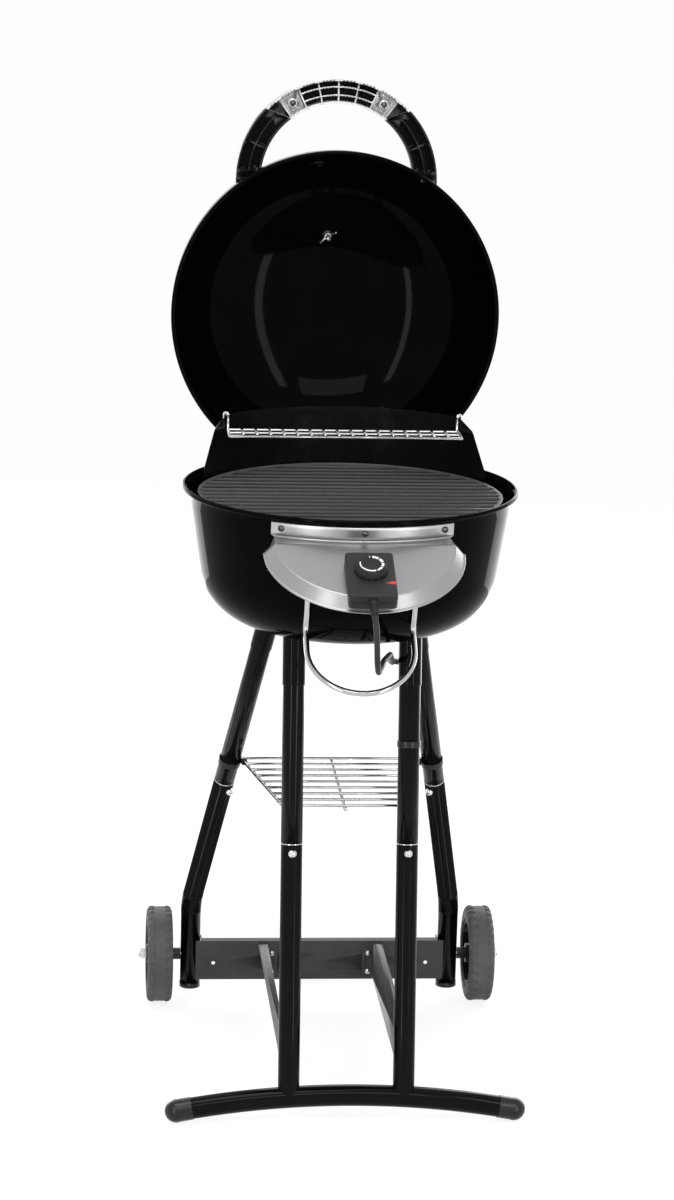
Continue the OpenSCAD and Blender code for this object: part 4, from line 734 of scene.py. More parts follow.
class Bench:
    """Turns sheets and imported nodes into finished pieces."""

    slots = {s["node"]: s["material_slot"] for s in frame["record"]["subparts"]}
    hidden = {"power_cord", "cord_coil"}
    others = {
        "rear_crossbar": Look.bar_paint, "braces": Look.bar_paint,
    }

    @staticmethod
    def body_of(node: str) -> str:
        """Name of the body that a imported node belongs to."""
        return frame["nodes"][node]["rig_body"]

    @classmethod
    def place(
        cls,
        name: str,
        mesh: bpy.types.Mesh,
        look: Look,
        node: str,
        hides: Sequence[str] = (),
        crease: float = 34.0,
    ) -> bpy.types.Object:
        """Makes an object of a mesh, dresses it and lets it ride.

        Args:
            name: Name of the piece.
            mesh: Its mesh, in place.
            look: Its finish.
            node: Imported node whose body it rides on.
            hides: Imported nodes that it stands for.
            crease: Angle in degrees over which an edge stays sharp.

        Returns:
            The piece.
        """
        mesh.shade_smooth()
        mesh.set_sharp_from_angle(angle=math.radians(crease))
        piece = bpy.data.objects.new(name, mesh)
        bpy.context.scene.collection.objects.link(piece)
        mesh.materials.clear()
        mesh.materials.append(look.material())
        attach(piece, cls.body_of(node))
        look.name if look.name in cls.slots.values() else cls.slots[node]
        if hides:
            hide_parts(*hides)
            cls.hidden.update(hides)
        log.info("%s: %d faces", name, len(mesh.polygons))
        return piece

    @classmethod
    def build(
        cls,
        name: str,
        sheets: Sequence[Sheet],
        look: Look,
        node: str,
        hides: Sequence[str] = (),
        crease: float = 34.0,
    ) -> bpy.types.Object:
        """Makes one piece of several closed sheets, with its faces pointing outwards.

        Args:
            name: Name of the piece.
            sheets: The sheets that it is made of.
            look: Its finish.
            node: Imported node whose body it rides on.
            hides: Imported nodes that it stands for.
            crease: Angle in degrees over which an edge stays sharp.

        Returns:
            The piece.
        """
        points, faces, count = [], [], 0
        for sheet in sheets:
            flat = sheet.points.reshape(-1, 3)
            points.append(flat)
            faces += [[count + i for i in face] for face in sheet.faces()]
            count += len(flat)
        mesh = bpy.data.meshes.new(name)
        mesh.from_pydata(np.concatenate(points), [], faces)
        cls.tidy(mesh)
        return cls.place(name, mesh, look, node, hides, crease)

    @staticmethod
    def tidy(mesh: bpy.types.Mesh, outwards: bool = True) -> None:
        """Merges doubled points of a mesh and turns its faces outwards."""
        work = bmesh.new()
        work.from_mesh(mesh)
        bmesh.ops.remove_doubles(work, verts=work.verts, dist=1e-6)
        if outwards:
            bmesh.ops.recalc_face_normals(work, faces=work.faces)
        work.to_mesh(mesh)
        work.free()

    @classmethod
    def smooth(cls, node: str, crease: float = 34.0) -> bpy.types.Object:
        """Stands a smooth-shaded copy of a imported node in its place.

        Args:
            node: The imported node.
            crease: Angle in degrees over which an edge stays sharp.

        Returns:
            The piece.
        """
        mesh = frame["nodes"][node].data.copy()
        cls.tidy(mesh, outwards=False)
        look = cls.others.get(node, Look[cls.slots[node]])
        return cls.place(f"{node}_finished", mesh, look, node, [node], crease)


# ------------------------------------------------------------------ the grill


@dataclass
class MainsCord:
    """The flex from the controller, round the front leg and down to its coil behind the grill."""

    diameter: float = 7 * MM
    bend: float = 28 * MM
    route: tuple[tuple[float, float, float], ...] = (
        (0, -429.4, 681), (2, -429.4, 630), (20, -324, 620), (36, -244, 607), (46, -179, 580),
        (47, -132, 571), (79, -104, 556), (80, -116, 500), (91, -116, 3.9), (123, 296, 3.9),
        (126, 340, 5),
    )
    coil_centre: tuple[float, float] = (84, 343)
    coil_radius: float = 42
    coil_low: float = 5
    coil_pitch: float = 7.1
    coil_start: float = -4
    coil_sweep: float = 864
    tail: float = 30
    plug_z: float = 18
    exit_slope: float = 24
    gland_tip: float = 4.6 * MM
    straight: float = 6
    lead: float = 0.7

    def gland_end(self) -> np.ndarray:
        """Middle of the strain relief's tip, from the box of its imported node."""
        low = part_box("cord_gland")[0]
        slope, radius = math.radians(self.exit_slope), self.gland_tip
        return np.array([0, low[1] + radius * math.sin(slope), low[2] + radius * math.cos(slope)])

    def corner(self, a: np.ndarray, b: np.ndarray, c: np.ndarray) -> np.ndarray:
        """Arc of the bend's radius that rounds the corner b between a and c."""
        u, v = unit(b - a), unit(c - b)
        turn = math.acos(float(u @ v))
        if turn < 0.02:
            return b[None, :]
        middle = b + unit(v - u) * self.bend / math.cos(turn / 2)
        e1 = unit(b - u * self.bend * math.tan(turn / 2) - middle)
        e2 = np.cross(unit(np.cross(u, v)), e1)
        t = np.linspace(0, turn, 2 + round(turn / 0.5))[:, None]
        return middle + self.bend * (np.cos(t) * e1 + np.sin(t) * e2)

    def line(self) -> np.ndarray:
        """Points down the middle of the whole cord: its route, the coil's helix and the tail.

        A straight stretch longer than a few bends gets a point near each end, so that the
        curve through the points stays straight between them.

        Returns:
            The points in order, in metres.
        """
        stops = np.concatenate([self.gland_end()[None, :], np.array(self.route) * MM])
        corners = [self.corner(*stops[i - 1 : i + 2]) for i in range(1, len(stops) - 1)]
        for i in range(len(corners) - 1, 0, -1):
            a, b = corners[i - 1][-1], corners[i][0]
            if np.linalg.norm(b - a) > self.straight * self.bend:
                way = self.lead * self.bend * unit(b - a)
                corners.insert(i, np.array([a + way, b - way]))
        turns = np.radians(np.linspace(self.coil_start, self.coil_start + self.coil_sweep, 61))
        x, y = self.coil_centre
        climb = self.coil_low + self.coil_pitch * (turns - turns[0]) / TAU
        helix = np.stack(
            [x + self.coil_radius * np.cos(turns), y + self.coil_radius * np.sin(turns), climb], axis=1
        )
        way = np.array([-math.sin(turns[-1]), math.cos(turns[-1]), 0])
        drop = np.array([0, 0, self.plug_z - helix[-1, 2]])
        tail = helix[-1] + self.tail * way + np.array([0.5 * drop - 0.5 * self.tail * way, drop])
        return np.concatenate([stops[:1], *corners, helix * MM, tail * MM])

    def make(self) -> None:
        points = self.line()
        curve = bpy.data.curves.new("mains_cord", "CURVE")
        curve.dimensions = "3D"
        curve.bevel_depth = self.diameter / 2
        curve.bevel_resolution = 4
        curve.use_fill_caps = True
        spline = curve.splines.new("BEZIER")
        spline.bezier_points.add(len(points) - 1)
        spline.bezier_points.foreach_set("co", points.reshape(-1))
        for point in spline.bezier_points:
            point.handle_left_type = point.handle_right_type = "AUTO"
        spline.resolution_u = 6
        curve.materials.append(Look.cord_rubber.material())
        cord = bpy.data.objects.new("mains_cord", curve)
        bpy.context.scene.collection.objects.link(cord)
        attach(cord, "stand")
        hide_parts("power_cord", "cord_coil")
        Bench.smooth("mains_plug")
        Bench.smooth("cord_tie")


@dataclass
class Bowl:
    """Deep enamelled bowl: a flat bottom, a round corner, a leaning wall and a rolled rim."""

    rim: float = 775.0
    bead_centre: float = 207.0
    bead: float = 3.0
    wall_top: tuple[float, float] = (203.0, 768.0)
    lean: float = 8.8
    corner: tuple[float, float] = (104.1, 685.0)
    corner_radius: float = 85.0
    sheet: float = 1.6
    back: float = 54.0
    straight: tuple[float, float] = (700.0, 765.0)
    lip: tuple[float, float] = (-4.6, -2.4)
    steps: int = 192

    def wall(self, z: Any, off: float = 0.0) -> Any:
        """Radius of the wall at a height: it shrinks by tan(lean) for each step down."""
        lean = math.radians(self.lean)
        return self.wall_top[0] + off / math.cos(lean) - (self.wall_top[1] - z) * math.tan(lean)

    def profile(self) -> np.ndarray:
        """Section: outer face from the middle up, round the bead and down the inner face.

        Returns:
            Radius and height of each point, in millimetres.
        """
        corner = arc(self.corner, self.corner_radius, -90, -self.lean, 22)
        flat = np.linspace((0, corner[0, 1]), corner[0], 12)[:-1]
        z = np.linspace(*self.straight, 8)
        outer = np.concatenate([flat, corner, np.stack([self.wall(z), z], axis=1)])
        inner = beside(outer, -self.sheet)
        bead = arc((self.bead_centre, self.rim - self.bead), self.bead, -150, 140, 18)
        lip = np.array([(self.bead_centre + self.lip[0], self.rim + self.lip[1])])
        return np.concatenate([outer, bead, lip, inner[::-1]])

    def make(self) -> None:
        """Builds the bowl."""
        surface = revolved(self.profile() * MM, self.steps, (0, -self.back * MM, 0))
        Bench.build("bowl_shell", [surface], Look.bowl_enamel, "bowl", ["bowl"], crease=50)


@dataclass
class Lid:
    """Domed lid, turned back about its pin."""

    edge: float = 774.46
    radius: float = 215.0
    low: float = 6.0
    height: float = 165.0
    power: float = 2.6
    sheet: float = 1.2
    bead_centre: float = 212.8
    bead: float = 3.0
    seam: float = 3.2
    opened: float = 91.7
    pin: tuple[float, float] = (220.0, 725.0)
    back: float = 54.0
    steps: int = 192

    def open(self, points: np.ndarray) -> np.ndarray:
        """Turns points of the closed lid back about the pin, to where it rests.

        Args:
            points: Points in millimetres, round the bowl's centre line.

        Returns:
            The points in metres, in the grill's own frame.
        """
        a = math.radians(self.opened)
        y, z = points[..., 1] - self.pin[0], points[..., 2] - self.pin[1]
        turned_y = self.pin[0] + y * math.cos(a) + z * math.sin(a) - self.back
        turned_z = self.pin[1] - y * math.sin(a) + z * math.cos(a)
        return np.stack([points[..., 0], turned_y, turned_z], axis=-1) * MM

    def profile(self) -> np.ndarray:
        """Section: inner face from the crown down, round the bead and up the outer face.

        The outer face is a superellipse: r = radius * cos(a) ^ (2 / power), and the height
        over its foot grows with sin(a) ^ (2 / power).

        Returns:
            Radius and height over the lid's edge of each point.
        """
        a = np.linspace(0, math.pi / 2, 64)
        across = np.maximum(np.cos(a), 0) ** (2 / self.power)
        up = np.sin(a) ** (2 / self.power)
        dome = np.stack([self.radius * across, self.low + (self.height - self.low) * up], axis=1)
        outer = np.concatenate([[(self.radius, self.seam)], dome])
        outer[-1, 0] = 0
        inner = beside(outer, -self.sheet)
        bead = arc((self.bead_centre, 0), self.bead, 130, 410, 20)
        return np.concatenate([inner[::-1], bead, outer])

    def make(self) -> None:
        """Builds the dome."""
        dome = revolved(self.profile(), self.steps, (0, 0, self.edge)).mapped(self.open)
        Bench.build("lid_dome", [dome], Look.lid_enamel, "lid_shell", ["lid_shell"], crease=50)


@dataclass
class FrontTray:
    """Silver tray: a flange on the wall, a level web, a sloping top and a turned-down border."""

    bowl: Bowl
    half: float = 106.0
    flange_half: float = 110.0
    reach: float = 101.0
    slope: float = 24.0
    edge_z: float = 747.0
    edge_y: float = -207.749
    flange_top: float = 766.0
    fold: float = 2.5
    bend: float = 3.0
    border: float = 12.6
    drop: float = 13.7
    lip: float = 2.5
    sheet: float = 1.2
    seat: float = 1.5
    wing: float = 0.35
    crown: float = 4.0
    foot_bend: float = 2.2
    hem: float = 1.2
    columns: int = 81
    web_steps: int = 7

    def on_slope(self, u: np.ndarray, v: np.ndarray, w: Any = 0.0) -> np.ndarray:
        """Points of the sloping top: u across, v down the slope and w out of it."""
        s, c = math.sin(math.radians(self.slope)), math.cos(math.radians(self.slope))
        w = w + 0 * u
        return np.stack([u, self.edge_y - v * c - w * s, self.edge_z - v * s + w * c], axis=-1)

    def finished(self, points: np.ndarray) -> np.ndarray:
        """Moves points round the bowl's centre line to the grill's own frame, in metres."""
        return (points - (0, self.bowl.back, 0)) * MM

    def wall_y(self, x: np.ndarray, z: np.ndarray) -> np.ndarray:
        """How far forward the sheet lies where it follows the round wall."""
        return -np.sqrt((self.bowl.wall(z) + self.seat) ** 2 - x**2)

    def top(self) -> np.ndarray:
        """Flange, web and sloping top as rows, from the flange's upper edge forward.

        A column stands at x = half * cos(angle) and ends at reach * sin(angle) down the slope,
        so that the tray's front is half an ellipse. Both folds are quadratic curves.

        Returns:
            Rows of points.
        """
        angle = np.linspace(math.pi, 0, self.columns)
        x, front = self.half * np.cos(angle), self.reach * np.sin(angle)
        wide = x * self.flange_half / self.half
        low = self.edge_z + self.fold
        heights = np.linspace(self.flange_top, low, 5)
        rows = [np.stack([wide, self.wall_y(wide, z), 0 * x + z], axis=-1) for z in heights]
        knee = np.stack([x, self.wall_y(x, self.edge_z), 0 * x + self.edge_z], axis=-1)
        rows += bent(rows[-1], knee, knee - (0, self.fold, 0), 5)
        near = np.minimum(self.bend, front)
        edge = self.on_slope(x, 0 * x)
        before = edge + np.stack([0 * x, near, 0 * x], axis=-1)
        web_start = rows[-1]
        rows += [(1 - t) * web_start + t * before for t in np.linspace(0, 1, self.web_steps)[1:]]
        rows += bent(before, edge, self.on_slope(x, near), 4)
        rows += [self.on_slope(x, near + (front - near) * t) for t in np.linspace(0, 1, 12)[1:]]
        return np.array(rows)

    def rim(self, top: np.ndarray) -> np.ndarray:
        """Border that turns down round the top's sides and front, ending in a rolled lip.

        Each row keeps one place (out, down) of the border's section. Beside the web the
        section stands upright, and it leans over to the slope's own square further forward.
        Its reach grows from the wing's share at the wall to the whole at the slope.

        Args:
            top: Rows of the top.

        Returns:
            Rows of points, of which the first is the top's own edge.
        """
        n = self.web_steps - 1
        side = top[8 : 8 + n, 0]
        path = np.concatenate([side, top[-1], side[::-1] * (-1, 1, 1)])
        a = math.radians(self.slope)
        lean = np.linspace(0, a, n + 1)[:-1]
        lean = np.concatenate([lean, np.full(self.columns, a), lean[::-1]])
        round_a = np.linspace(math.pi, 0, self.columns)
        still = np.zeros(n)
        across = np.concatenate([still - 1, np.cos(round_a), still + 1])
        along = np.concatenate([still, np.sin(round_a), still])
        outward = np.stack([across, -along * math.cos(a), -along * math.sin(a)], axis=-1)
        normal = np.stack([0 * lean, -np.sin(lean), np.cos(lean)], axis=-1)
        fade = np.linspace(1, 0, n + 1)[:-1]
        fade = np.concatenate([fade, np.zeros(self.columns), fade[::-1]])
        grow = np.linspace(self.wing, 1, n + 1)[:-1]
        grow = np.concatenate([grow, np.ones(self.columns), grow[::-1]])[:, None]
        rows = []
        for out, down in self.section():
            row = path + out * outward * grow - down * normal
            row[:, 1] += fade * (self.wall_y(row[:, 0], row[:, 2]) - self.wall_y(path[:, 0], path[:, 2]))
            rows.append(row)
        return np.array(rows)

    def section(self) -> np.ndarray:
        """Section of the border as (out, down) from the top's edge, with its folds rounded."""
        slant = math.atan2(self.drop, self.border)
        turn = np.linspace(0, slant, 6)
        upper = self.crown * np.stack([np.sin(turn), 1 - np.cos(turn)], axis=1)
        foot = np.array([self.border, self.drop])
        out = np.array([self.lip - self.hem, 0])
        before = foot - self.foot_bend * np.array([math.cos(slant), math.sin(slant)])
        lower = np.array(bent(before, foot, foot + out, 6))
        hem = arc(foot + out + (0, self.hem), self.hem, -80, 0, 5)
        return np.concatenate([upper, lower, hem])

    def sheet_piece(
        self, name: str, points: Sequence[np.ndarray], look: Look, hides: Sequence[str]
    ) -> None:
        """Builds one open sheet, faces it up and out, and gives it its thickness inwards.

        Args:
            name: Name of the piece.
            points: Grids of points.
            look: Its finish.
            hides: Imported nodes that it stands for.
        """
        sheets = [Sheet(self.finished(grid)) for grid in points]
        piece = Bench.build(name, sheets, look, "front_tray", hides, crease=60)
        faces = np.empty(3 * len(piece.data.polygons))
        piece.data.polygons.foreach_get("normal", faces)
        if (faces.reshape(-1, 3) @ (0, -1, 1)).sum() < 0:
            piece.data.flip_normals()
        solid = piece.modifiers.new("sheet", "SOLIDIFY")
        solid.thickness = self.sheet * MM
        solid.offset = -1

    def make(self) -> None:
        """Builds the tray's body and its bright flange."""
        top = self.top()
        self.sheet_piece("tray_body", [top[4:], self.rim(top)], Look.silver_paint, ["front_tray"])
        self.sheet_piece("tray_flange", [top[:5]], Look.bare_steel, [])


@dataclass
class Controller:
    """Controller on the tray: its cover, the fluted dial with its scale, and the lamp."""

    tray: FrontTray
    start: float = 40.0
    length: float = 85.0
    width: float = 57.0
    split: float = 8.0
    height: float = 18.5
    dial_v: float = 76.0
    dial_radius: float = 18.5
    skirt: float = 1.6
    dial_height: float = 9.5
    dial_w: float = 18.9
    flutes: int = 16
    flute: float = 0.045
    rounding: float = 5.0
    edge: float = 2.2
    marks: tuple[tuple[float, float], ...] = ((-82, -50), (-42, -14), (-6, 22), (30, 62), (70, 196))
    zero: tuple[float, float] = (262, 266)
    scale_radius: float = 13.4
    broadest: float = 1.9
    thinnest: float = 0.6
    lamp: tuple[tuple[float, float], ...] = (
        (-15.2, 100.2), (-20.5, 98.8), (-22.5, 97.6), (-27.2, 96.6),
        (-27.2, 102.6), (-22.5, 102.2), (-20.5, 101.4),
    )

    def on_tray(self, points: np.ndarray) -> np.ndarray:
        """Moves points given as across, down and out of the slope to the grill's frame.

        The slope's own across runs against X.
        """
        return self.tray.finished(self.tray.on_slope(-points[..., 0], points[..., 1], points[..., 2]))

    def outline(self, inset: float, w: float) -> np.ndarray:
        """Rounded oblong of the cover at height w, inset all round."""
        x, a, b = self.width / 2 - inset, self.start + inset, self.start + self.length - inset
        r = max(self.rounding - inset, 0.5)
        flat = rounded([(-x, a, r), (x, a, r), (x, b, r), (-x, b, r)], 9)
        return np.concatenate([flat, np.full((len(flat), 1), w)], axis=1)

    def cover(self) -> None:
        """Cover: the oblong rises straight, and its upper edge is a quarter circle."""
        turn = np.linspace(0, math.pi / 2, 7)
        edge = zip(self.edge * (1 - np.cos(turn)), self.height - self.edge * (1 - np.sin(turn)))
        foot = [(0.6, self.split + 0.1), (0.0, self.split + 0.7)]
        plan = [*foot, *edge, (5.0, self.height), (14.0, self.height)]
        rows = np.array([self.outline(inset, w) for inset, w in plan])
        sheet = Sheet(rows, loop_columns=True, closed_ends=True).mapped(self.on_tray)
        node = "controller_cover"
        Bench.build("controller_top", [sheet], Look.controller_plastic, node, [node])

    def dial(self) -> None:
        """Dial: at height h the radius is r(h), cut in flutes by a power of a cosine."""
        t = np.linspace(0, TAU, 192, endpoint=False)
        flute = self.flute * (0.5 + 0.5 * np.cos(self.flutes * t)) ** 3
        r, h, wide = self.dial_radius, self.dial_height, self.skirt
        plan = [
            (0, 0.0, 0), (r + wide - 0.6, 0.0, 0), (r + wide, 0.6, 0.3), (r + wide, 1.6, 1),
            (r + wide - 0.6, 4.0, 1), (r - 0.6, h - 1.6, 1), (r - 1.6, h - 0.5, 0.6), (r - 2.6, h, 0),
            (r - 7.6, h, 0), (r - 8.1, h - 0.2, 0), (r - 8.4, h - 0.5, 0), (r - 12, h - 0.7, 0),
            (0, h - 0.7, 0),
        ]
        rows = []
        for radius, height, share in plan:
            s = radius * (1 - share * flute)
            flat = [s * np.cos(t), self.dial_v + s * np.sin(t), 0 * t + self.dial_w + height]
            rows.append(np.stack(flat, axis=-1))
        body = Sheet(np.array(rows), loop_columns=True).mapped(self.on_tray)
        Bench.build("dial_body", [body], Look.dial_plastic, "control_dial", ["control_dial"], crease=40)

    def band(self, start: float, end: float, middle: float, wide: Any) -> Sheet:
        """Print on the dial: a band between two angles, from its start's to its end's width.

        Args:
            start: First angle in degrees, clockwise from the right.
            end: Last angle.
            middle: Radius of the band's middle.
            wide: Half of the width at each of its twelve angles.

        Returns:
            The closed band, 0.12 mm proud of the dial.
        """
        t = np.radians(np.linspace(start, end, 12))
        top = self.dial_w + self.dial_height
        rows = []
        for side, out in ((-1, -0.05), (-1, 0.12), (1, 0.12), (1, -0.05)):
            s = middle + side * wide
            rows.append(np.stack([-s * np.cos(t), self.dial_v + s * np.sin(t), 0 * t + top + out], axis=-1))
        grid = np.array(rows).transpose(1, 0, 2)
        return Sheet(grid, loop_columns=True, closed_ends=True).mapped(self.on_tray)

    def scale(self) -> None:
        """White scale on the dial: broad steps that thin out to a long arc, and a zero mark.

        The half width falls in even measure from the broadest at the first mark's start to
        the thinnest at the last one's end.
        """
        first, last = self.marks[0][0], self.marks[-1][1]
        sheets = []
        for start, end in self.marks:
            share = (np.linspace(start, end, 12) - first) / (last - first)
            wide = self.broadest + (self.thinnest - self.broadest) * share
            sheets.append(self.band(start, end, self.scale_radius, wide))
        sheets.append(self.band(*self.zero, self.scale_radius, np.full(12, 1.2)))
        Bench.build("dial_scale", sheets, Look.white_print, "control_dial")

    def lens(self) -> None:
        """Lens of the lamp: a wedge that stands a little out of the cover and is drawn in on top."""
        plan = np.array(self.lamp)
        middle = plan.mean(axis=0)
        rows = []
        for share, w in ((1.0, self.height - 1.0), (1.0, self.height + 0.3), (0.93, self.height + 0.6)):
            flat = middle + share * (plan - middle)
            rows.append(np.concatenate([flat, np.full((len(flat), 1), w)], axis=1))
        lens = Sheet(np.array(rows), loop_columns=True, closed_ends=True).mapped(self.on_tray)
        Bench.build("lamp_lens", [lens], Look.red_lens, "indicator_lens", ["indicator_lens"])

    def make(self) -> None:
        """Builds the cover, the dial, its scale and the lamp's lens."""
        self.cover()
        self.dial()
        self.scale()
        self.lens()


@dataclass
class FrontRail:
    """Chromed rod: out of the bowl's wall, down along it, and forward in a half circle."""

    bowl: Bowl
    half: float = 65.0
    radius: float = 3.5
    hug: float = 5.3
    top: float = 700.0
    slope: float = 37.5
    sunk: float = 16.0
    hip_rise: float = 58.0
    hip_out: float = 0.8
    knee_rise: float = 32.0
    reach: float = 33.0
    bends: tuple[float, float, float] = (7.0, 9.0, 11.0)

    def wall(self, z: float) -> float:
        """Radius of the bowl's face: the leaning wall, or the round corner below it."""
        (x, middle), r = self.bowl.corner, self.bowl.corner_radius
        if z > middle - r * math.sin(math.radians(self.bowl.lean)):
            return self.bowl.wall(z, self.hug)
        return x + math.sqrt((r + self.hug) ** 2 - (middle - z) ** 2)

    def at(self, z: float, out: float = 0.0) -> np.ndarray:
        """Point of the rod's right-hand side where it lies on the bowl at a height."""
        return np.array([self.half, -math.sqrt(self.wall(z) ** 2 - self.half**2) - out, z])

    def path(self) -> np.ndarray:
        """Middle line: bends as quadratic curves, then half a circle on a falling plane.

        Returns:
            Points from one end in the wall to the other.
        """
        low = self.bowl.corner[1] - self.bowl.corner_radius
        a = math.radians(self.slope)
        way = np.array([0, -math.cos(a), -math.sin(a)])
        shoulder = self.at(self.top)
        hip, knee = self.at(low + self.hip_rise, self.hip_out), self.at(low + self.knee_rise)
        tip = knee + self.reach * way
        stops = [shoulder + (0, self.sunk, 0), shoulder, hip, knee, tip]
        side = [stops[0]]
        for i, (size, steps) in enumerate(zip(self.bends, (6, 6, 8)), start=1):
            before = stops[i] - size * unit(stops[i] - stops[i - 1])
            after = stops[i] + size * unit(stops[i + 1] - stops[i])
            side += [before, *bent(before, stops[i], after, steps)]
        side = np.array(side)
        t = np.linspace(0, math.pi, 41)[:, None]
        bow = tip * (0, 1, 1) + self.half * (np.cos(t) * (1, 0, 0) + np.sin(t) * way)
        return np.concatenate([side, bow, side[::-1] * (-1, 1, 1)])

    def make(self) -> None:
        """Builds the rod."""
        rod = carried(ring(self.radius, 20), self.path(), lean=(0.02, 0.8, -0.6))
        rod = rod.mapped(lambda points: (points - (0, self.bowl.back, 0)) * MM)
        Bench.build("chromed_rail", [rod], Look.chromed_wire, "front_rail", ["front_rail"], crease=60)


@dataclass
class Tyre:
    """Tread of one tyre: a smooth middle band between two shoulders with slanted lugs."""

    side: str
    centre: tuple[float, float, float] = (218.3, 214.0, 65.0)
    radius: float = 65.0
    inner: float = 46.0
    width: float = 34.0
    band: float = 7.0
    lugs: int = 30
    slant: float = 0.09
    groove: float = 2.0

    def surface(self) -> np.ndarray:
        """Tread as rows across the tyre and columns round it.

        A section (x, r) is swept round the axle. Outside the band it sinks by the groove's
        depth where the cosine of the lugs' angle, slanted with the distance from the middle,
        is low.

        Returns:
            The closed surface's points.
        """
        half, top = self.width / 2, self.radius
        shoulder = [
            (half - 1.5, self.inner + 0.1), (half - 0.4, self.inner + 0.2), (half, self.inner + 1),
            (half, top - 9), (half - 0.4, top - 5.5), (half - 1.6, top - 2.6),
            (half - 3.6, top - 0.8), (half - 5.5, top - 0.1), (half - 7, top),
            (self.band + 1.4, top), (self.band + 0.7, top - 0.7), (self.band, top - 0.8),
            (self.band * 0.5, top - 0.8),
        ]
        right = np.array(shoulder)
        section = np.concatenate([right, [(0, top - 0.8)], right[::-1] * (-1, 1)])
        x, r = section[:, :1], section[:, 1:]
        t = np.linspace(0, TAU, self.lugs * 12, endpoint=False)[None, :]
        tread = np.clip((np.abs(x) - self.band - 0.5) / 0.6, 0, 1) * np.clip((r - top + 8) / 3, 0, 1)
        phase = self.lugs * t + np.sign(x) * math.pi / 2 + self.slant * np.abs(x)
        sunk = self.groove * np.clip(0.4 - 1.6 * np.cos(phase), 0, 1) * tread
        r, x = r - sunk, x - 0.35 * np.sign(x) * sunk
        cx, cy, cz = self.centre
        cx *= -1 if self.side == "left" else 1
        return np.stack([cx + x, cy + r * np.cos(t), cz + r * np.sin(t)], axis=-1) * MM

    def make(self) -> None:
        """Builds the tread."""
        node = f"tyre_{self.side}"
        tread = Sheet(self.surface(), loop_rows=True, loop_columns=True)
        Bench.build(f"tread_{self.side}", [tread], Look.wheel_rubber, node, [node], crease=45)


@dataclass
class Screws:
    """Domed screws with a cross recess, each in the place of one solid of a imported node."""

    node: str
    look: Look

    def islands(self) -> list[np.ndarray]:
        """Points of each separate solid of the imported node."""
        work = bmesh.new()
        work.from_mesh(frame["nodes"][self.node].data)
        bmesh.ops.remove_doubles(work, verts=work.verts, dist=1e-6)
        left, groups = set(work.verts), []
        while left:
            queue, group = [left.pop()], []
            while queue:
                vertex = queue.pop()
                group.append(tuple(vertex.co))
                near = {edge.other_vert(vertex) for edge in vertex.link_edges} & left
                left -= near
                queue += near
            groups.append(np.array(group))
        work.free()
        return sorted(groups, key=lambda g: tuple(np.round(g.mean(axis=0), 4)))

    @staticmethod
    def head(points: np.ndarray) -> tuple[np.ndarray, np.ndarray, float, float]:
        """Finds one screw's axis, its head's seat, and the head's radius and height.

        The axis is the direction in which the points spread most, and the head is the end
        where they lie furthest from it.

        Args:
            points: Points of the screw.

        Returns:
            Unit axis out of the head, middle of the seat, radius and height.
        """
        middle = points.mean(axis=0)
        axis = np.linalg.svd(points - middle)[2][0]
        middle = 0.5 * (points.min(axis=0) + points.max(axis=0))
        along = (points - middle) @ axis
        tip = points[along > along.max() - 1e-5].mean(axis=0)
        tail = points[along < along.min() + 1e-5].mean(axis=0)
        axis = unit(tip - tail)
        along = (points - tail) @ axis
        across = np.linalg.norm(points - tail - along[:, None] * axis, axis=1)
        wide = along[across > 0.93 * across.max()]
        if wide.mean() < 0.5 * along.max():
            axis, along, wide, tail = -axis, along.max() - along, along.max() - wide, tip
        return axis, tail + wide.min() * axis, float(across.max()), float(along.max() - wide.min())

    def screw(self, points: np.ndarray) -> Sheet:
        """One screw: a dome with a cross sunk into it, its flat seat and a stub of its shank.

        At share s of the radius the dome stands sqrt(1 - 0.87 s^2) of its height. The cross
        is two bars whose depth fades at their sides and ends.

        Args:
            points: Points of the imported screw.

        Returns:
            The closed screw.
        """
        axis, seat, radius, height = self.head(points)
        across = unit(np.cross(axis, (0.31, 0.17, 0.93)))
        up = np.cross(axis, across)
        t = np.linspace(0, TAU, 48, endpoint=False)[None, :]
        shares = [1, 0.97, 0.9, 0.8, 0.7, 0.62, 0.56, 0.48, 0.4, 0.33, 0.27, 0.2, 0.14, 0.07, 0]
        s = np.array(shares)[:, None]
        x, y = s * np.cos(t), s * np.sin(t)
        bars = [
            np.clip((0.15 - np.abs(a)) / 0.05, 0, 1) * np.clip((0.6 - np.abs(b)) / 0.1, 0, 1)
            for a, b in ((x, y), (y, x))
        ]
        h = height * (np.sqrt(1 - 0.87 * s**2) - 0.45 * np.maximum(*bars))
        grid = seat + radius * (x[..., None] * across + y[..., None] * up) + h[..., None] * axis
        foot = seat + radius * (x[:1, :, None] * across + y[:1, :, None] * up)
        stub = seat + 0.5 * (foot - seat)
        rows = np.concatenate([stub - height * axis, stub, foot, grid])
        return Sheet(rows, loop_columns=True, closed_ends=True)

    def make(self) -> None:
        """Builds every screw of the node as one piece."""
        sheets = [self.screw(points) for points in self.islands()]
        Bench.build(f"{self.node}_set", sheets, self.look, self.node, [self.node], crease=40)


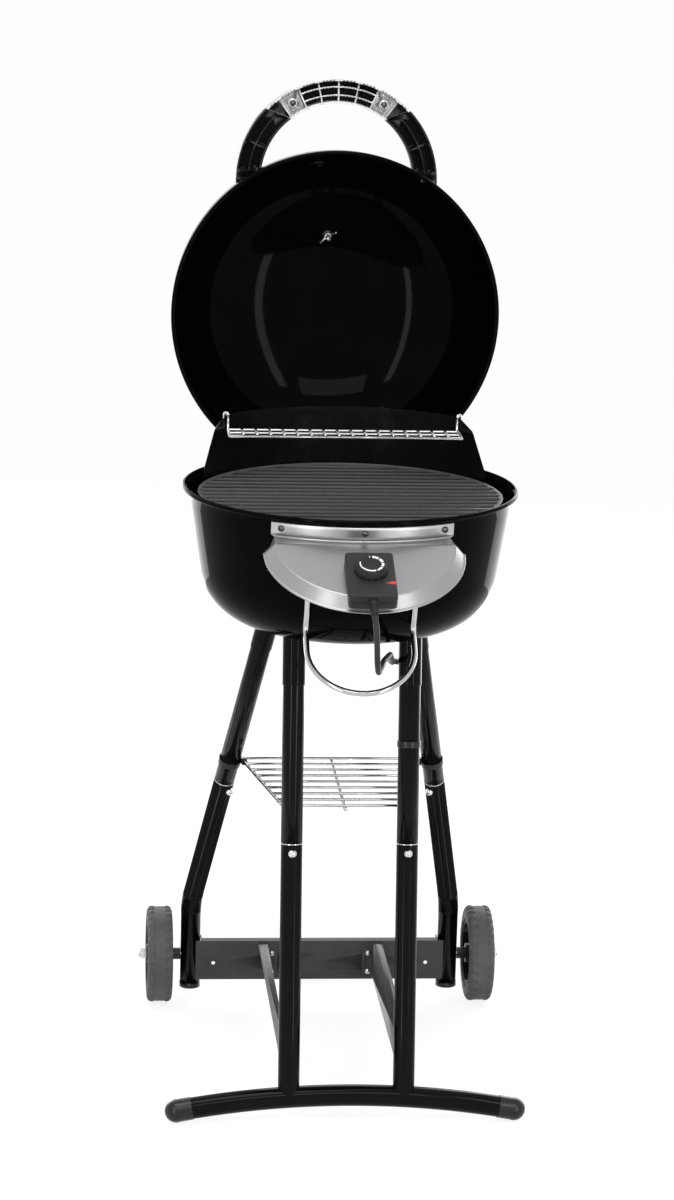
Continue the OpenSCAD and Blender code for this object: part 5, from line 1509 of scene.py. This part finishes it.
@dataclass
class LegFittings:
    """Thin sleeves that hold the legs' tops under the bowl, and the clips on the legs."""

    leg: float = 13.5
    front_top: tuple[float, float, float] = (72.0, -84.0, 585.5)
    front_way: tuple[float, float, float] = (0.0, 0.157, 0.9876)
    rear_top: tuple[float, float, float] = (94.0, 66.0, 586.0)
    rear_way: tuple[float, float, float] = (-0.1652, -0.4069, 0.8984)
    shelf_at: tuple[float, float, float] = (133.7, 163.8, 370.0)
    shelf_corner: tuple[float, float, float] = (116.8, 164.0, 370.0)
    shelf_knee: tuple[float, float, float] = (80.0, -28.0, 370.0)
    front_joint: float = 347.0
    rear_joint: float = 340.0
    clip_at: tuple[float, float, float] = (72.0, -102.35, 470.0)
    cord_at: tuple[float, float, float] = (80.7, -62.0, 470.0)
    back: float = 54.0

    def sleeve(
        self, middle: Sequence[float], way: Sequence[float], low: float, high: float, wall: float
    ) -> Sheet:
        """Ring on a leg: a wall whose outer corners are rounded, from low to high along the leg.

        Args:
            middle: Point on the leg's axis.
            way: Direction of the axis.
            low: Lower end from that point.
            high: Upper end.
            wall: Thickness.

        Returns:
            The closed ring.
        """
        r, e = self.leg + 0.05, min(0.4, wall / 3)
        outer = r + wall
        plan = np.array([
            (r, low), (outer - e, low), (outer, low + e), (outer, high - e), (outer - e, high), (r, high),
        ])
        return self.placed(turned(plan, middle, way))

    def placed(self, sheet: Sheet) -> Sheet:
        """A sheet moved from the bowl's centre line to the grill's own frame, in metres."""
        return sheet.mapped(lambda points: (points - (0, self.back, 0)) * MM)

    def mirrored(self, sheets: Sequence[Sheet]) -> list[Sheet]:
        """The sheets with their mirror images on the other side of the grill."""
        return [*sheets, *(sheet.mapped(lambda points: points * (-1, 1, 1)) for sheet in sheets)]

    def rod(self, start: Sequence[float], end: Sequence[float], radius: float) -> Sheet:
        """Round rod between two points, with flat ends."""
        t = np.linspace(0, 1, 12)[:, None]
        path = np.asarray(start) * (1 - t) + np.asarray(end) * t
        return self.placed(carried(ring(radius, 20), path, lean=(0.9, 0.31, 0.3)))

    def make(self) -> None:
        """Builds the sleeves, the shelf's clips and the cord's clip."""
        sleeves = [
            self.sleeve(self.front_top, self.front_way, -44, 30, 0.9),
            self.sleeve(self.rear_top, self.rear_way, -44, 30, 0.9),
        ]
        Bench.build("leg_sleeves", self.mirrored(sleeves), Look.leg_paint, "leg_sockets", ["leg_sockets"])
        corner, knee = np.array(self.shelf_corner), np.array(self.shelf_knee)
        end = corner + 9 * unit(knee - corner)
        start = corner + 0.35 * (np.array(self.shelf_at) - corner)
        clips = [
            self.sleeve(self.shelf_at, self.rear_way, -4, 4, 1.4),
            self.rod(start, corner, 4.2),
            self.rod(corner - 4 * unit(knee - corner), end, 4.6),
        ]
        Bench.build("shelf_lugs", self.mirrored(clips), Look.black_plastic, "shelf_clips", ["shelf_clips"])
        front, rear = np.array(self.front_top), np.array(self.rear_top)
        front += (self.front_joint - front[2]) / self.front_way[2] * np.array(self.front_way)
        rear += (self.rear_joint - rear[2]) / self.rear_way[2] * np.array(self.rear_way)
        ends = [(front, self.front_way), (rear, self.rear_way)]
        edges = [self.sleeve(middle, way, -0.5, 0.5, 0.25) for middle, way in ends]
        Bench.build("joint_edges", self.mirrored(edges), Look.screw_steel, "front_legs_lower")
        way = unit(np.array((11, 0, -496.5)))
        plan = np.array([(3.6, -4), (5.2, -4), (5.6, -3.6), (5.6, 3.6), (5.2, 4), (3.6, 4)])
        middle = np.array(self.clip_at)
        arm = unit(np.array(self.cord_at) - middle)
        clip = [
            self.sleeve(self.clip_at, self.front_way, -4, 4, 1.2),
            self.placed(turned(plan, self.cord_at, way)),
            self.rod(middle + (self.leg + 0.6) * arm, np.array(self.cord_at) - 4.4 * arm, 3.0),
        ]
        Bench.build("cord_holder", clip, Look.black_plastic, "cord_clip", ["cord_clip"])


@dataclass
class Studio:
    """Camera, lamps, floor and backdrop."""

    eye: Colour = (-0.3976, -4.265706, 1.656246)
    azimuth: float = -5.218
    elevation: float = 13.669
    roll: float = 1.6
    lens: float = 104.07
    sky: float = 0.6
    floor_half: float = 30.0
    floor_glow: float = 0.75

    def camera(self) -> None:
        """Stands the camera up: back looks from the object to it, turned by its three angles."""
        a, e, r = (math.radians(v) for v in (self.azimuth, self.elevation, self.roll))
        back = np.array([math.sin(a) * math.cos(e), -math.cos(a) * math.cos(e), math.sin(e)])
        right = unit(np.cross(-back, (0, 0, 1)))
        up = np.cross(right, -back)
        across = right * math.cos(r) + up * math.sin(r)
        upright = up * math.cos(r) - right * math.sin(r)
        data = bpy.data.cameras.new("camera")
        data.lens = self.lens
        data.clip_end = 50
        camera = bpy.data.objects.new("camera", data)
        matrix = np.eye(4)
        matrix[:3, :4] = np.stack([across, upright, back, np.array(self.eye)], axis=1)
        camera.matrix_world = Matrix(matrix.tolist())
        bpy.context.scene.collection.objects.link(camera)
        bpy.context.scene.camera = camera

    def softbox(
        self, name: str, place: Colour, aim: Colour, size: tuple[float, float], power: float
    ) -> None:
        """Adds one soft lamp.

        Args:
            name: Name of the lamp.
            place: Where it stands.
            aim: Point that it faces.
            size: Width and height.
            power: Watts.
        """
        data = bpy.data.lights.new(name, "AREA")
        data.shape = "RECTANGLE"
        data.size, data.size_y = size
        data.energy = power
        lamp = bpy.data.objects.new(name, data)
        lamp.location = place
        lamp.visible_camera = False
        lamp.rotation_euler = (Vector(aim) - Vector(place)).to_track_quat("-Z", "Y").to_euler()
        bpy.context.scene.collection.objects.link(lamp)

    def lamps(self) -> None:
        """Two tall softboxes either side, one overhead and a weak one from behind."""
        self.softbox("strip_left", (-0.75, -1.3, 0.95), (0, 0.1, 0.95), (0.12, 1.9), 6.5)
        self.softbox("strip_right", (0.75, -1.3, 0.95), (0, 0.1, 0.95), (0.14, 1.9), 6.5)
        self.softbox("softbox_top", (-0.3, -0.8, 3.2), (0, 0, 0.6), (1.4, 1.2), 26)
        self.softbox("panel_left", (-0.85, 1.6, 0.55), (0, 0, 0.6), (1.0, 1.5), 15)
        self.softbox("panel_right", (1.05, 1.35, 0.55), (0, 0, 0.6), (1.3, 1.5), 18)
        self.softbox("softbox_front", (0.1, -2.6, 2.5), (0, -0.2, 0.7), (1.5, 0.7), 13)
        self.softbox("softbox_back", (0.6, 2.6, 2.0), (0, 0, 0.8), (1.6, 1.4), 20)

    def seen(self, recipe: Recipe) -> Shade:
        """1 for rays that show the background: from the camera, a gloss or through glass."""
        path = [
            recipe.node("ShaderNodeLightPath", output=name)
            for name in ("Is Camera Ray", "Is Glossy Ray", "Is Transmission Ray")
        ]
        return path[0] + path[1] + path[2]

    def world(self) -> None:
        """White to the eye, and a softer white as light."""
        world = bpy.data.worlds.new("studio")
        bpy.context.scene.world = world
        recipe = Recipe(world)
        strength = self.seen(recipe) * (1 - self.sky) + self.sky
        sky = recipe.node(
            "ShaderNodeBackground", None, {"Color": (1, 1, 1, 1), "Strength": strength}
        )
        recipe.node("ShaderNodeOutputWorld", None, {"Surface": sky})

    def floor(self) -> None:
        """White floor that keeps the grill's shadow."""
        mesh = bpy.data.meshes.new("floor")
        corners = np.array([(-1, -1, 0), (1, -1, 0), (1, 1, 0), (-1, 1, 0)]) * self.floor_half
        mesh.from_pydata(corners, [], [(0, 1, 2, 3)])
        floor = bpy.data.objects.new("floor", mesh)
        bpy.context.scene.collection.objects.link(floor)
        recipe = Recipe(bpy.data.materials.new("floor_white"))
        matt = recipe.node("ShaderNodeBsdfDiffuse", None, {"Color": (0.94, 0.94, 0.94, 1)})
        glow = recipe.node("ShaderNodeEmission", None, {"Color": (1, 1, 1, 1), "Strength": 1.12})
        share = self.seen(recipe) * self.floor_glow
        both = recipe.node("ShaderNodeMixShader", None, {0: share, 1: matt, 2: glow})
        recipe.node("ShaderNodeOutputMaterial", None, {"Surface": both})
        mesh.materials.append(recipe.owner)

    def make(self) -> None:
        """Sets up everything round the grill but the camera."""
        self.lamps()
        self.world()
        self.floor()


def main() -> None:
    """Builds the looks of the whole grill."""
    logging.basicConfig(level=logging.INFO, format="%(name)s %(message)s")
    bpy.context.scene.view_settings.view_transform = "Standard"
    studio = Studio()
    studio.camera()
    MainsCord().make()
    bowl = Bowl()
    tray = FrontTray(bowl)
    pieces = [bowl, Lid(), tray, FrontRail(bowl), Controller(tray)]
    pieces += [Tyre("left"), Tyre("right"), LegFittings()]
    pieces += [Screws(f"{place}_screws", Look.dark_steel) for place in ("tray", "lid")]
    pieces += [Screws(f"{place}_screws", Look.screw_steel) for place in ("bowl", "stand")]
    for piece in pieces:
        piece.make()
    for node in sorted(set(frame["nodes"]) - Bench.hidden):
        Bench.smooth(node)
    studio.make()


if __name__ == "__main__":
    main()
